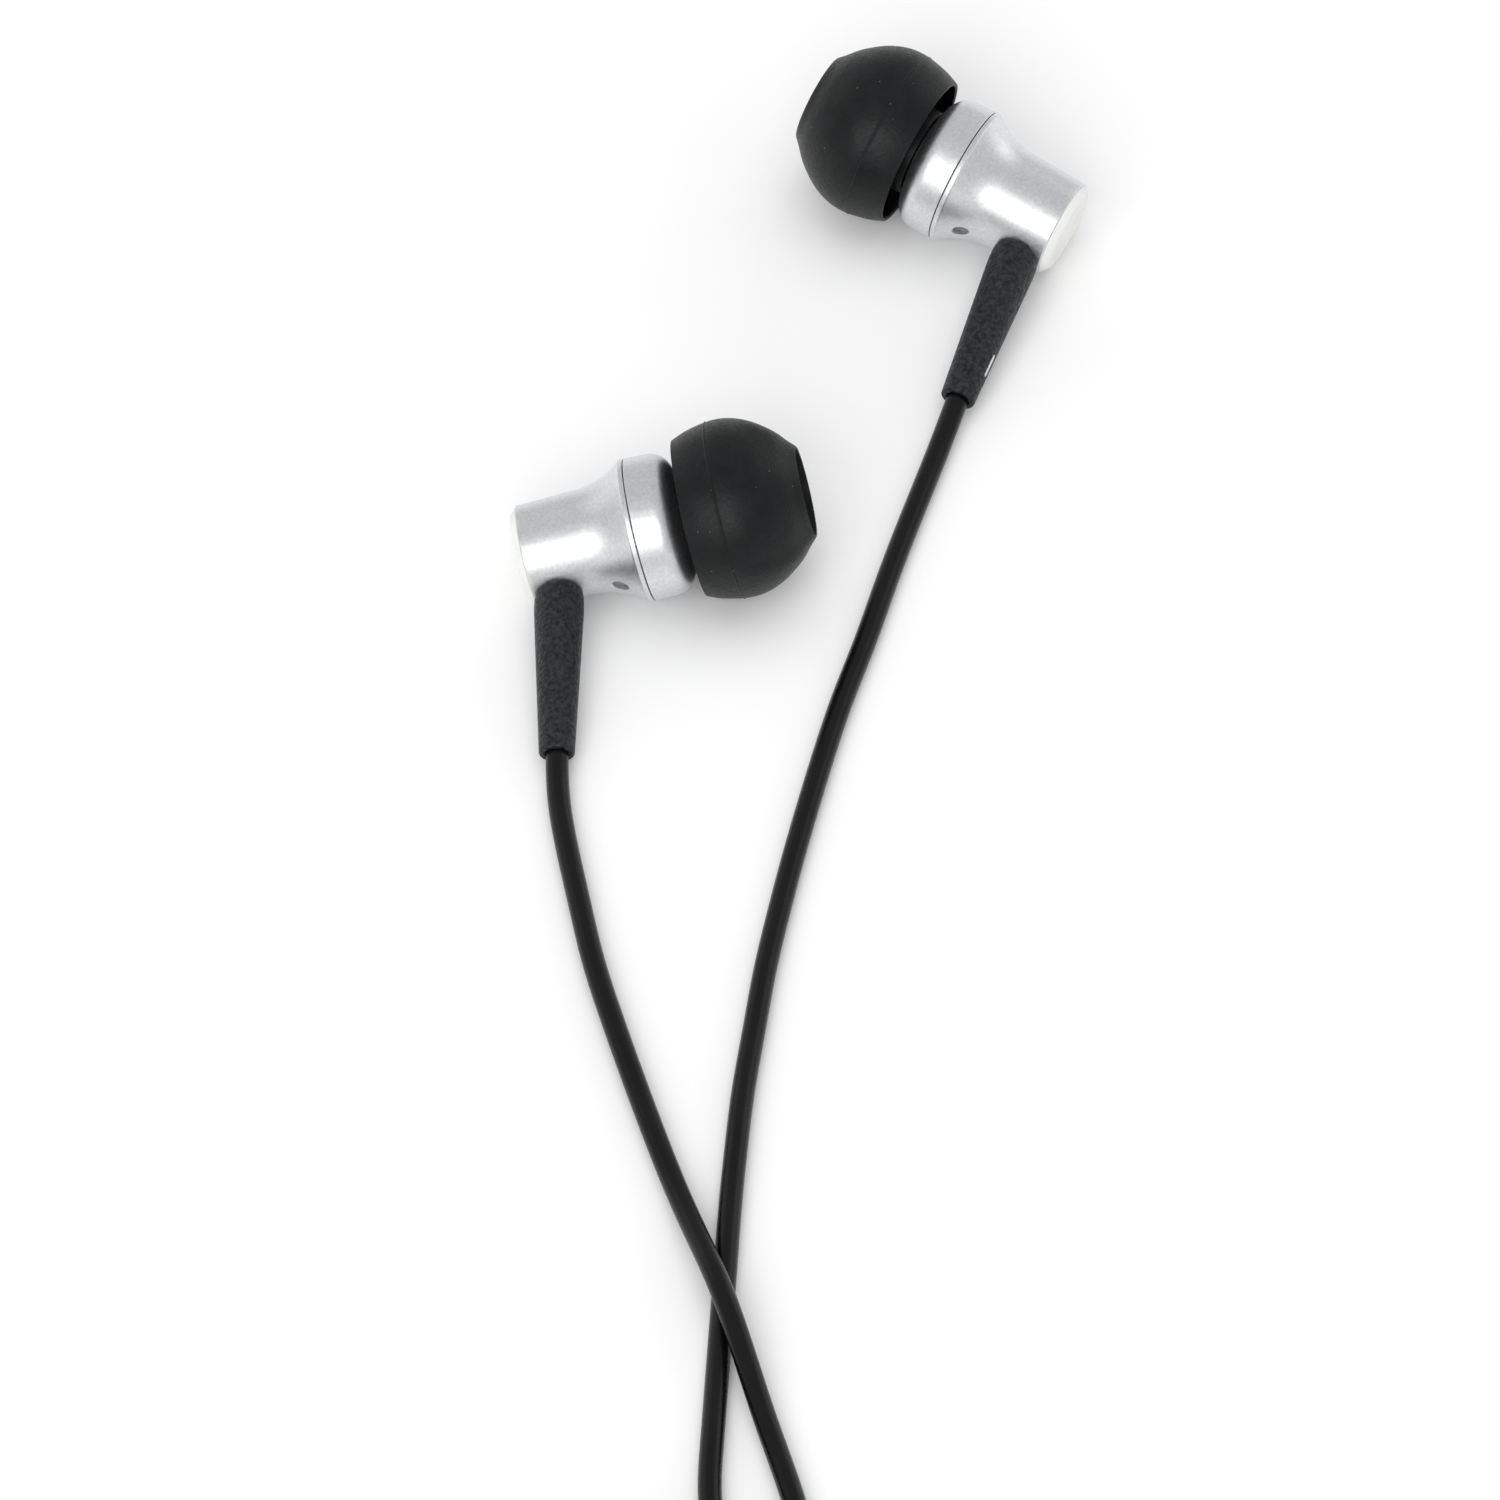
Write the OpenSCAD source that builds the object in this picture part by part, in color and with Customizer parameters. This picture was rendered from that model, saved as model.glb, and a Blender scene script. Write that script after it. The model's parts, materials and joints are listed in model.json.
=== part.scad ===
// Wired in-ear earphones at rest on a table: two metal earpieces with silicone tips, a lead from
// each to a splitter, and the main lead to a 3.5 mm plug. What isn't laid out is wound in two coils.
// Millimetres, +Z up. The origin is on the table, under the middle of the two earpieces.
//
// Each earpiece is drawn about its own axis: +Z runs from the end cap to the ear tip, z = 0 is the
// back edge of the metal barrel, and +X is the side that the strain relief comes out of.

/* [Housing] */
// Radius of the barrel at its back edge
barrel_r = 3.57; // [3.5:0.01:3.65]
// Radius of the barrel where the flare begins
flare_r = 3.72; // [3.68:0.01:3.8]
// Distance from the back edge to the start of the flare
flare_z = 4; // [3.5:0.1:4.5]
// Radius of the rim where the two halves meet
rim_r = 5.1; // [5:0.01:5.2]
// Distance from the back edge to the seam between the halves
seam_z = 8.1; // [8:0.1:8.2]
// Thickness of the metal wall
wall = 0.55; // [0.45:0.05:0.6]
// Radius of the nozzle that the ear tip sits on
nozzle_r = 2.6; // [2.5:0.05:2.65]
// Distance from the back edge to the end of the nozzle
nozzle_end = 16.8; // [16:0.1:17]

/* [Ear tip] */
// Largest radius of the silicone dome
tip_r = 6.35; // [6.2:0.05:6.5]
// Distance from the back edge to the skirt's open end
tip_back = 11.7; // [11.6:0.1:12]
// Distance from the back edge to the tip's front lip
tip_front = 20.1; // [19.8:0.1:20.4]
// Radius of the sound opening at the front lip
tip_mouth_r = 3.05; // [2.9:0.05:3.1]

/* [Strain relief] */
// Radius at the housing
relief_r = 1.75; // [1.65:0.05:1.8]
// Radius at the end where the lead comes out
relief_end_r = 1.22; // [1.15:0.01:1.3]
// Distance from the earpiece's axis to the relief's end
relief_len = 16.3; // [14:0.1:17]
// Distance from the barrel's back edge to the relief's middle
relief_z = 2.35; // [2.3:0.05:2.4]
// Angle between the earpiece's axis and the relief
relief_lean = 99; // [92:1:100]

/* [Leads] */
// Diameter of the lead to each earpiece
lead_d = 1.6; // [1.5:0.05:1.6]
// Diameter of the main lead below the splitter
main_d = 2; // [1.9:0.05:2]

/* [Plug] */
// Radius of the plug's contacts
plug_r = 1.75; // [1.75:0.01:1.76]
// Length of the contacts
plug_len = 14; // [13.9:0.1:14.1]
// Radius of the moulded grip
grip_r = 2.9; // [2.6:0.1:3]
// Length of the moulded grip
grip_len = 14; // [12:0.5:15]

/* [Resting place] */
// Slope of the left earpiece's axis, which lies on its back edge
left_tilt = 12; // [11.8:0.1:12.2]
// Slope of the right earpiece's axis, which lies on its ear tip
right_tilt = 10; // [9.8:0.1:10.2]
// Heading of the left earpiece's axis
left_yaw = 7; // [6:0.5:8]
// Heading of the right earpiece's axis
right_yaw = 152; // [150:0.5:154]

/* [Hidden] */
$fn = 72;
EAR_PARTS = [
    "ear_tip", "front_housing", "nozzle_mesh", "rear_housing", "end_cap", "vent_screen",
    "driver_cover", "diaphragm", "voice_coil", "driver_frame", "driver_top_plate", "driver_magnet",
    "driver_yoke", "driver_damper", "terminal_board", "inner_wires", "lead_anchor", "strain_relief",
];
CORD_PARTS = [
    "left_lead", "right_lead", "lead_coil", "lead_tie", "left_lead_end", "right_lead_end",
    "splitter", "splitter_relief", "main_lead", "main_coil", "main_tie", "main_lead_end",
    "plug_relief", "plug_grip", "plug_collar", "plug_sleeve", "plug_ring", "plug_tip",
    "plug_insulators",
];

gap = 0.02;        // clearance where one piece fits in another
flare_power = 2.2; // how late the barrel's flare swells
rim_band = 0.45;   // straight band on each side of the seam
spigot_len = 0.42; // overlap of the front half inside the back half
shoulder_r = 1.2;  // rounding of the front half
driver_r = rim_r - wall - 0.3;
tip_bore_r = nozzle_r + 0.08;
vent_z = 6.1;
vent_r = 0.58;

// Driver, stacked along the axis from its back
yoke_z = 6.45;
yoke_r = 3;
yoke_len = 2.3;
magnet_r = 2.1;
coil_r = 2.4;      // middle of the voice coil's wall
frame_z = 8.2;
frame_front = 10.15;
dome_z = 9.2;      // rim of the diaphragm

// Ear tip's outer skirt and dome, from the open back to the front lip: radius and distance
tip_dome = [
    [tip_r - 0.73, tip_back], [tip_r - 0.4, 12.6], [tip_r - 0.15, 13.6], [tip_r - 0.03, 14.3],
    [tip_r, 15], [tip_r - 0.09, 15.8], [tip_r - 0.33, 16.6], [tip_r - 0.71, 17.4], [5.1, 18.2],
    [4.42, 19], [3.75, 19.6], [tip_mouth_r + 0.35, 19.95], [tip_mouth_r + 0.12, tip_front],
];

// Height of the middle of the seam when an earpiece lies on the table at this slope
function rest_z(tilt) = max([
    for (p = concat([[barrel_r, 0], [rim_r, seam_z]], tip_dome)) p[0] * cos(tilt) - (p[1] - seam_z) * sin(tilt)
]);

// Where each earpiece lies: middle of its seam, its heading, and how far its relief drops
left_place = [-11.5, -12.27, rest_z(left_tilt)];
right_place = [11.55, 20, rest_z(right_tilt)];
left_drop = 7.7;
right_drop = 7.6;

// Routes of the cords' middles over the table
left_route = [
    [-17.16, -28.3, 1.46], [-17.05, -31.9, 0.95], [-16.4, -36.6, 0.8], [-15.5, -41.3, 0.8],
    [-14.5, -46.2, 0.8], [-13.2, -51, 0.8], [-11.8, -55.7, 0.8], [-10.3, -60.5, 0.8],
    [-8.8, -65.1, 0.95], [-7.3, -69.6, 1.7], [-5.7, -74.4, 2.5], [-4.2, -79, 1.75],
    [-2.8, -83.6, 0.95], [-1.4, -88.2, 0.8], [-0.3, -92.8, 0.8], [0, -97.5, 0.85],
    [-0.5, -102.1, 1], [-0.9, -106, 1.15],
];
right_route = [
    [11.2, 3, 1.7], [10, -0.5, 1.05], [8.5, -5, 0.8], [7, -9.6, 0.8], [5.6, -14.2, 0.8],
    [4.2, -19, 0.8], [2.7, -23.7, 0.8], [1.4, -28.4, 0.8], [0.2, -33.2, 0.8], [-0.9, -37.9, 0.8],
    [-1.9, -42.6, 0.8], [-2.8, -47.3, 0.8], [-3.5, -52, 0.8], [-4.2, -56.8, 0.8], [-4.7, -61.6, 0.8],
    [-5.1, -66.4, 0.8], [-5.4, -71.2, 0.8], [-5.7, -76, 0.8], [-6, -80.8, 0.8], [-6.3, -85.6, 0.8],
    [-6.4, -90.1, 0.8], [-5.5, -94.6, 1], [-3.6, -98.8, 1.9], [-2.2, -103, 3.2],
];
left_end_route = [[-1.6, -115.6, 2.7], [-1.1, -119.2, 2.4], [-0.65, -122.65, 2]];
right_end_route = [[-2.6, -116.8, 5.1], [-2.6, -119.8, 3.6], [-2.55, -122.65, 2]];
main_route = [[-1.6, -132.7, 2], [-1.6, -135.6, 1.9], [-1.4, -137.8, 1.5]];
main_end_route = [
    [-9, -133.2, 7.3], [-5.5, -132.8, 7.4], [-2.2, -131.8, 6.7], [0.8, -129.9, 5.6], [3, -127.1, 4.4],
    [4, -123.7, 3.3], [4.6, -120.3, 2.5], [6.4, -117.5, 2.1], [9.2, -116.5, 2.1], [12, -117.6, 2.4],
    [13.4, -120.3, 2.8], [13.5, -122.2, 2.9],
];

// Coils: middle on the table, and the cross-section of their turns
tie_t = 0.4;
lead_coil_at = [-12, -109.6];
lead_coil_in = 6.1;
lead_coil_out = 11.9;
lead_coil_top = 7.1;
main_coil_at = [-14, -145.1];
main_coil_in = 7.5;
main_coil_out = 14.8;
main_coil_top = 8.6;

// Splitter and plug
splitter_at = [-1.6, -127.6, 2];
splitter_len = 10;
plug_at = [13.5, -145.5, grip_r]; // shoulder that the contacts stand out of, towards -Y
collar_len = 1;
tip_len = 4;
ring_len = 2.2;
ring_gap = 0.7;

module left() {
    place(left_place, left_yaw, left_tilt, left_drop - 90) children();
}

module right() {
    place(right_place, right_yaw, right_tilt, 90 - right_drop) children();
}

module place(middle, yaw, tilt, roll) {
    translate(middle) rotate([0, 90 - tilt, yaw]) rotate([0, 0, roll]) translate([0, 0, -seam_z])
        children();
}

// Stands something along the strain relief, from the earpiece's axis outwards
module along_relief() {
    translate([0, 0, relief_z]) rotate([0, relief_lean, 0]) children();
}

// Outer radius of the back half at a distance from its back edge
function barrel(z) = z < flare_z
    ? barrel_r + (flare_r - barrel_r) * z / flare_z
    : flare_r + (rim_r - 0.12 - flare_r) * pow((z - flare_z) / (seam_z - rim_band - flare_z), flare_power);

// Back half's outline, inset by a wall thickness
function barrel_outline(inset) = concat(
    [[0, 0], [barrel_r - inset, 0]],
    [for (i = [0:10]) let (z = flare_z + i * (seam_z - rim_band - flare_z) / 10) [barrel(z) - inset, z]]
);

module rear_housing() {
    rim = seam_z - gap;
    counterbore_r = driver_r + 0.27;
    color("#C9CACB") difference() {
        rotate_extrude()
            polygon(concat(barrel_outline(0), [[rim_r, seam_z - rim_band + 0.1], [rim_r, rim], [0, rim]]));
        rotate_extrude()
            polygon(concat(
                [[0, -1], [barrel_r - wall, -1]],
                [for (p = barrel_outline(wall)) if (p[0] > 0) p],
                [[counterbore_r, seam_z - rim_band], [counterbore_r, seam_z + 1], [0, seam_z + 1]]
            ));
        along_relief() cylinder(r = 1.32, h = 6);
        vent() translate([0, 0, -2]) cylinder(r = vent_r, h = 4, $fn = 32);
    }
}

// Stands something square to the flare at the vent, with z = 0 at the outer surface
module vent() {
    slope = atan((barrel(vent_z + 0.1) - barrel(vent_z - 0.1)) / 0.2);
    translate([barrel(vent_z), 0, vent_z]) rotate([0, 90 + slope, 0]) children();
}

module vent_screen() {
    color("#6E6F71") vent() translate([0, 0, -0.45]) cylinder(r = vent_r - 0.01, h = 0.12, $fn = 32);
}

module end_cap() {
    edge = 0.52;
    color("#E4E3DD") rotate_extrude() polygon([
        [0, -edge], [barrel_r - 0.62, -edge], [barrel_r, 0], [barrel_r - wall - gap, 0],
        [barrel_r - wall - gap, 0.4], [0, 0.4],
    ]);
}

module front_housing() {
    front = seam_z + 1.65;
    shoulder = [for (a = [90:-15:0]) [rim_r - 0.05 + shoulder_r * (sin(a) - 1), front + shoulder_r * cos(a)]];
    face = front + shoulder_r + 0.45;
    bore_r = 1.9;
    color("#C9CACB") difference() {
        rotate_extrude() polygon(concat(
            [[driver_r + gap, seam_z - spigot_len], [driver_r + 0.25, seam_z - spigot_len]],
            [[driver_r + 0.25, seam_z + gap], [rim_r, seam_z + gap]],
            shoulder,
            [
                [nozzle_r + 0.05, face], [nozzle_r, face + 0.1], [nozzle_r, nozzle_end - 3.4],
                [nozzle_r - 0.2, nozzle_end - 3.2], [nozzle_r - 0.2, nozzle_end - 1.2],
                [nozzle_r, nozzle_end - 1], [nozzle_r, nozzle_end - 0.15], [nozzle_r - 0.15, nozzle_end],
                [bore_r, nozzle_end], [bore_r, face - 0.4], [driver_r - 0.6, frame_front + 0.2],
                [driver_r + gap, frame_front + 0.2],
            ]
        ));
        translate([0, 0, nozzle_end - 0.4]) cylinder(r = bore_r + 0.25, h = 1);
    }
}

module nozzle_mesh() {
    color("#3C3D40") translate([0, 0, nozzle_end - 0.4 + gap]) cylinder(r = 2.14, h = 0.2);
}

module ear_tip() {
    core_r = 3.3;
    color("#1E2022") rotate_extrude() polygon(concat(tip_dome, [
        [tip_mouth_r, tip_front - 0.05],
        // sound bore and the sleeve that grips the nozzle
        [tip_mouth_r - 0.05, nozzle_end + 0.7], [tip_bore_r, nozzle_end + 0.1], [tip_bore_r, 12],
        [core_r - 0.1, 12], [core_r, 12.2], [core_r + 0.1, 16.6],
        // inside of the dome, back to the skirt
        [core_r + 0.4, 17.4], [4.1, 17.6], [4.7, 17.2], [5.25, 16.4], [5.55, 15.4], [5.65, 14.4],
        [5.55, 13.2], [5.38, 12.2], [5.3, tip_back],
    ]));
}

module driver_yoke() {
    color("#9A9B9D") translate([0, 0, yoke_z]) difference() {
        cylinder(r = yoke_r, h = yoke_len);
        translate([0, 0, 0.4]) cylinder(r = yoke_r - 0.38, h = yoke_len);
    }
}

module driver_magnet() {
    color("#B9BBBE") translate([0, 0, yoke_z + 0.4]) cylinder(r = magnet_r, h = 1.3);
}

module driver_top_plate() {
    color("#9A9B9D") translate([0, 0, yoke_z + 1.7]) cylinder(r = magnet_r + 0.08, h = 0.6);
}

module voice_coil() {
    color("#B8703A") translate([0, 0, yoke_z + 1.65]) difference() {
        cylinder(r = coil_r + 0.08, h = dome_z - yoke_z - 1.65);
        translate([0, 0, -1]) cylinder(r = coil_r - 0.08, h = 5);
    }
}

module diaphragm() {
    skin = 0.1;
    edge_r = driver_r - 0.4;
    roll_r = (coil_r + 0.1 + edge_r) / 2;
    color("#A9C0C9") rotate_extrude() polygon(concat(
        [for (a = [0:10:90]) [(coil_r + 0.08) * sin(a), dome_z + skin + 0.6 * cos(a)]],
        [[roll_r, dome_z + skin + 0.25], [edge_r, dome_z + skin], [edge_r, dome_z]],
        [[roll_r, dome_z + 0.25], [coil_r + 0.08, dome_z], [coil_r - 0.08, dome_z]],
        [for (a = [80:-10:0]) [(coil_r - 0.08) * sin(a), dome_z + 0.6 * cos(a)]]
    ));
}

module driver_frame() {
    hub_r = yoke_r + gap;
    rim_in = driver_r - 0.3;
    color("#2A2A2C") difference() {
        rotate_extrude() polygon([
            [hub_r, 7.7], [hub_r + 0.35, 7.7], [hub_r + 0.35, frame_z], [driver_r, frame_z],
            [driver_r, frame_front], [rim_in, frame_front], [rim_in, frame_z + 0.45],
            [hub_r, frame_z + 0.45],
        ]);
        for (a = [45:90:315]) rotate([0, 0, a]) translate([3.65, 0, frame_z - 0.5])
            cylinder(r = 0.28, h = 1.5, $fn = 24);
    }
}

module driver_damper() {
    color("#D8D2C4") translate([0, 0, frame_z - 0.2]) difference() {
        cylinder(r = driver_r - 0.15, h = 0.2);
        translate([0, 0, -1]) cylinder(r = yoke_r + 0.4, h = 2);
    }
}

module driver_cover() {
    color("#77797C") translate([0, 0, frame_front]) difference() {
        cylinder(r = driver_r, h = 0.15);
        translate([0, 0, -1]) cylinder(r = 0.4, h = 2, $fn = 24);
        for (a = [0:60:300]) rotate([0, 0, a]) translate([1.9, 0, -1])
            cylinder(r = 0.4, h = 2, $fn = 24);
    }
}

module terminal_board() {
    color("#2E6B45") translate([0, 0, yoke_z - 0.3]) intersection() {
        cylinder(r = 2.6, h = 0.3);
        translate([-3, -1.6, -1]) cube([6, 3.2, 2]);
    }
}

module inner_wires() {
    bend = [[-0.36, 2.35], [-0.9, 2.5], [-1.4, 3], [-1.5, 3.8], [-1.5, yoke_z - 0.75]];
    for (side = [-1, 1]) {
        color("#B5452F") tube([for (p = bend) [p[0], side * 0.4, p[1]]], 0.14);
        color("#C8CACC") translate([-1.5, side * 0.4, yoke_z - 0.75])
            cylinder(r1 = 0.2, r2 = 0.35, h = 0.45, $fn = 24);
    }
}

// End of the lead inside the relief, with the crimp that keeps it from pulling out
module lead_anchor() {
    color("#202022") along_relief() {
        translate([0, 0, -0.3]) cylinder(d = lead_d, h = relief_len - 0.5, $fn = 32);
        translate([0, 0, 0.7]) cylinder(r = 1.3, h = 1.1, $fn = 32);
    }
}

module strain_relief() {
    neck_r = 1.3;
    bore_r = lead_d / 2 + 0.03;
    color("#2A2C2E") difference() {
        union() {
            difference() {
                along_relief() rotate_extrude($fn = 48) polygon([
                    [0, 3], [relief_r - 0.1, 3], [relief_r - 0.05, 3.7], [relief_r, 4.3], [relief_r, 5.2],
                    [relief_end_r + 0.04, relief_len - 0.3], [relief_end_r - 0.02, relief_len - 0.1],
                    [relief_end_r - 0.14, relief_len], [0, relief_len],
                ]);
                rotate_extrude() polygon(concat(barrel_outline(0), [[rim_r, seam_z], [0, seam_z]]));
            }
            along_relief() translate([0, 0, 2]) cylinder(r = neck_r, h = 2.5, $fn = 48);
            along_relief() translate([0, 0, 2]) cylinder(r = neck_r + 0.25, h = 0.5, $fn = 48);
        }
        along_relief() cylinder(r = bore_r, h = relief_len + 1, $fn = 48);
    }
}

// A tube swept along a route's points, with flat ends
module tube(route, r, sides = 8) {
    last = len(route) - 1;
    heading = [for (i = [0:last]) unit(route[min(i + 1, last)] - route[max(i - 1, 0)])];
    across = [for (h = heading) unit(cross(h, abs(h[2]) > 0.9 ? [0, 1, 0] : [0, 0, 1]))];
    upward = [for (i = [0:last]) cross(across[i], heading[i])];
    rings = [for (i = [0:last], k = [0:sides - 1]) let (a = 360 * (k + 0.5) / sides)
        route[i] + r * (cos(a) * across[i] + sin(a) * upward[i])];
    walls = [for (i = [0:last - 1], k = [0:sides - 1], half = [0, 1])
        let (n = (k + 1) % sides, low = i * sides, high = low + sides)
        half == 0 ? [low + k, low + n, high + n] : [low + k, high + n, high + k]];
    ends = [[for (k = [sides - 1:-1:0]) k], [for (k = [0:sides - 1]) last * sides + k]];
    polyhedron(rings, concat(walls, ends), convexity = 4);
}

function unit(v) = v / norm(v);

module lead(route, d) {
    color("#141414") tube(route, d / 2);
}

// Square outline with rounded corners
module rounded(low, high, corner) {
    for (x = [low[0] + corner, high[0] - corner], y = [low[1] + corner, high[1] - corner])
        translate([x, y]) circle(r = corner, $fn = 24);
    translate([low[0] + corner, low[1]]) square([high[0] - low[0] - 2 * corner, high[1] - low[1]]);
    translate([low[0], low[1] + corner]) square([high[0] - low[0], high[1] - low[1] - 2 * corner]);
}

module coil(middle, inner, outer, top) {
    color("#161616") translate(middle) rotate_extrude()
        rounded([inner, tie_t], [outer, top], 1);
}

// Band round a coil's turns, on the side away from the leads
module tie(middle, inner, outer, top, width) {
    angle = width / outer * 180 / PI;
    color("#26282A") translate(middle) rotate([0, 0, 180 - angle / 2]) rotate_extrude(angle = angle)
        difference() {
            rounded([inner - tie_t, 0], [outer + tie_t, top + tie_t], 1 + tie_t);
            rounded([inner - 0.005, tie_t - 0.005], [outer + 0.005, top + 0.005], 1);
        }
}

module splitter() {
    half = splitter_len / 2;
    color("#1C1D1F") translate(splitter_at) hull() {
        for (x = [-1, 1]) translate([x, half, 0]) rotate([90, 0, 0]) cylinder(r = 1.6, h = 1, $fn = 32);
        for (x = [-1, 1]) translate([x, half - 2, 0]) rotate([90, 0, 0]) cylinder(r = 1.95, h = 2, $fn = 32);
        translate([0, 1 - half, 0]) rotate([90, 0, 0]) cylinder(r = 1.9, h = 1, $fn = 32);
    }
}

module splitter_relief() {
    color("#1C1D1F") translate(splitter_at - [0, splitter_len / 2, 0]) rotate([90, 0, 0]) rotate_extrude()
        polygon([[main_d / 2 + gap, 0], [1.6, 0], [1.35, 1.8], [1.25, 2], [main_d / 2 + gap, 2]]);
}

// Stands something along the plug, with z = 0 at the shoulder and +Z towards the contacts' tip
module along_plug() {
    translate(plug_at) rotate([90, 0, 0]) children();
}

module tube_piece(from, to, outer, inner) {
    translate([0, 0, from]) difference() {
        cylinder(r = outer, h = to - from);
        translate([0, 0, -1]) cylinder(r = inner, h = to - from + 2);
    }
}

sleeve_end = plug_len - tip_len - 2 * ring_gap - ring_len;
ring_end = sleeve_end + ring_gap + ring_len;
stem_back = -4;
stem_r = 1.45;     // sleeve's hidden end inside the collar and the grip

module plug_sleeve() {
    color("#C9A24B") along_plug() {
        tube_piece(0, sleeve_end, plug_r, 1.2);
        tube_piece(stem_back, 0, stem_r, 1.2);
    }
}

module plug_ring() {
    color("#C9A24B") along_plug() {
        tube_piece(sleeve_end + ring_gap, ring_end, plug_r, 0.8);
        tube_piece(stem_back, sleeve_end + ring_gap, 1.05, 0.8);
    }
}

module plug_tip() {
    base = plug_len - tip_len;
    color("#C9A24B") along_plug() rotate_extrude() polygon([
        [0, stem_back], [0.65, stem_back], [0.65, base], [plug_r, base], [plug_r, base + 0.5],
        [1.5, base + 0.9], [1.15, base + 1.4], [1.2, base + 1.7], [1.6, base + 2.3], [1.62, base + 2.6],
        [1.3, base + 3.2], [0.6, base + 3.85], [0.3, plug_len], [0, plug_len],
    ]);
}

module plug_insulators() {
    color("#121212") along_plug() {
        tube_piece(sleeve_end, sleeve_end + ring_gap, plug_r, 1.05);
        tube_piece(stem_back, sleeve_end, 1.2, 1.05);
        tube_piece(ring_end, plug_len - tip_len, plug_r, 0.65);
        tube_piece(stem_back, ring_end, 0.8, 0.65);
    }
}

module plug_collar() {
    color("#C9A24B") along_plug() tube_piece(-collar_len, 0, 2.3, stem_r);
}

module plug_grip() {
    back = -collar_len - grip_len;
    color("#1C1D1F") along_plug() difference() {
        rotate_extrude() polygon([
            [0, back], [2.1, back], [2.4, back + 0.3], [grip_r, back + 3], [grip_r, -collar_len - 0.4],
            [grip_r - 0.4, -collar_len], [0, -collar_len],
        ]);
        translate([0, 0, stem_back]) cylinder(r = stem_r, h = 5);
    }
}

module plug_relief() {
    back = -collar_len - grip_len;
    color("#1C1D1F") along_plug() rotate_extrude() polygon([
        [0, back], [2, back], [1.75, back - 2], [1.5, back - 5], [1.35, back - 8], [1.2, back - 8.3],
        [0, back - 8.3],
    ]);
}

module ear_part(part) {
    if (part == "ear_tip") ear_tip();
    if (part == "front_housing") front_housing();
    if (part == "nozzle_mesh") nozzle_mesh();
    if (part == "rear_housing") rear_housing();
    if (part == "end_cap") end_cap();
    if (part == "vent_screen") vent_screen();
    if (part == "driver_cover") driver_cover();
    if (part == "diaphragm") diaphragm();
    if (part == "voice_coil") voice_coil();
    if (part == "driver_frame") driver_frame();
    if (part == "driver_top_plate") driver_top_plate();
    if (part == "driver_magnet") driver_magnet();
    if (part == "driver_yoke") driver_yoke();
    if (part == "driver_damper") driver_damper();
    if (part == "terminal_board") terminal_board();
    if (part == "inner_wires") inner_wires();
    if (part == "lead_anchor") lead_anchor();
    if (part == "strain_relief") strain_relief();
}

for (part = EAR_PARTS) {
    left() ear_part(part);
    right() ear_part(part);
}
lead(left_route, lead_d);  // left_lead
lead(right_route, lead_d);  // right_lead
lead(left_end_route, lead_d);  // left_lead_end
lead(right_end_route, lead_d);  // right_lead_end
lead(main_route, main_d);  // main_lead
lead(main_end_route, main_d);  // main_lead_end
coil(lead_coil_at, lead_coil_in, lead_coil_out, lead_coil_top);  // lead_coil
coil(main_coil_at, main_coil_in, main_coil_out, main_coil_top);  // main_coil
tie(lead_coil_at, lead_coil_in, lead_coil_out, lead_coil_top, 4);  // lead_tie
tie(main_coil_at, main_coil_in, main_coil_out, main_coil_top, 5);  // main_tie
splitter();
splitter_relief();
plug_relief();
plug_grip();
plug_collar();
plug_sleeve();
plug_ring();
plug_tip();
plug_insulators();
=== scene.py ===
import json
import math

import bmesh
import bpy
import numpy as np
from mathutils import Matrix, Vector


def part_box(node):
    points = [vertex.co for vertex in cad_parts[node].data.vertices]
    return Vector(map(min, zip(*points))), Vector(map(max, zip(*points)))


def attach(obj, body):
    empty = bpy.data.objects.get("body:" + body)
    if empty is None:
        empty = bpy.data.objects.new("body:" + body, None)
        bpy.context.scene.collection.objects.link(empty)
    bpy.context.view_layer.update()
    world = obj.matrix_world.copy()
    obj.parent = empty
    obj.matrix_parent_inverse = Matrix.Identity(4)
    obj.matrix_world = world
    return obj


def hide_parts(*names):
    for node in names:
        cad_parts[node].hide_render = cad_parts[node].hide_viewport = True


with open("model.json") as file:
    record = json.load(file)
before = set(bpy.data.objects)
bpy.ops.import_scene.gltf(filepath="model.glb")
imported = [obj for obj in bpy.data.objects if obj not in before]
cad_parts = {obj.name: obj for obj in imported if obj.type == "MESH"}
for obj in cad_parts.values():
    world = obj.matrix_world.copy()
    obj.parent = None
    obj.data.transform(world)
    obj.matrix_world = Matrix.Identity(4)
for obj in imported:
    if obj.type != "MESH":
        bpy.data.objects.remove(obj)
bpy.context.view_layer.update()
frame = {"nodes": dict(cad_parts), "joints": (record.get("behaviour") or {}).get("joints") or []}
mm = 0.001

# camera: a narrow lens that looks down from straight in front
cameraPlace = {
    "target": (-0.00378, -0.02765, 0.0),
    "distance": 0.7325,
    "elevation": 53.2,
    "lens": 253.0,
    "sensor": 36.0,
}


def placeCamera():
    tilt = math.radians(cameraPlace["elevation"])
    back = Vector((0, -math.cos(tilt), math.sin(tilt)))
    lens = bpy.data.cameras.new("camera")
    lens.lens = cameraPlace["lens"]
    lens.sensor_width = cameraPlace["sensor"]
    lens.clip_start, lens.clip_end = 0.05, 20.0
    eye = bpy.data.objects.new("camera", lens)
    eye.location = Vector(cameraPlace["target"]) + back * cameraPlace["distance"]
    eye.rotation_euler = (-back).to_track_quat("-Z", "Y").to_euler()
    bpy.context.scene.collection.objects.link(eye)
    bpy.context.scene.camera = eye


placeCamera()
bpy.context.scene.view_settings.view_transform = "Standard"
print("camera in place")


def linear(hexColour):
    channels = [int(hexColour[i:i + 2], 16) / 255 for i in (1, 3, 5)]
    channels = [c / 12.92 if c <= 0.04045 else ((c + 0.055) / 1.055) ** 2.4 for c in channels]
    return (*channels, 1.0)


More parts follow.
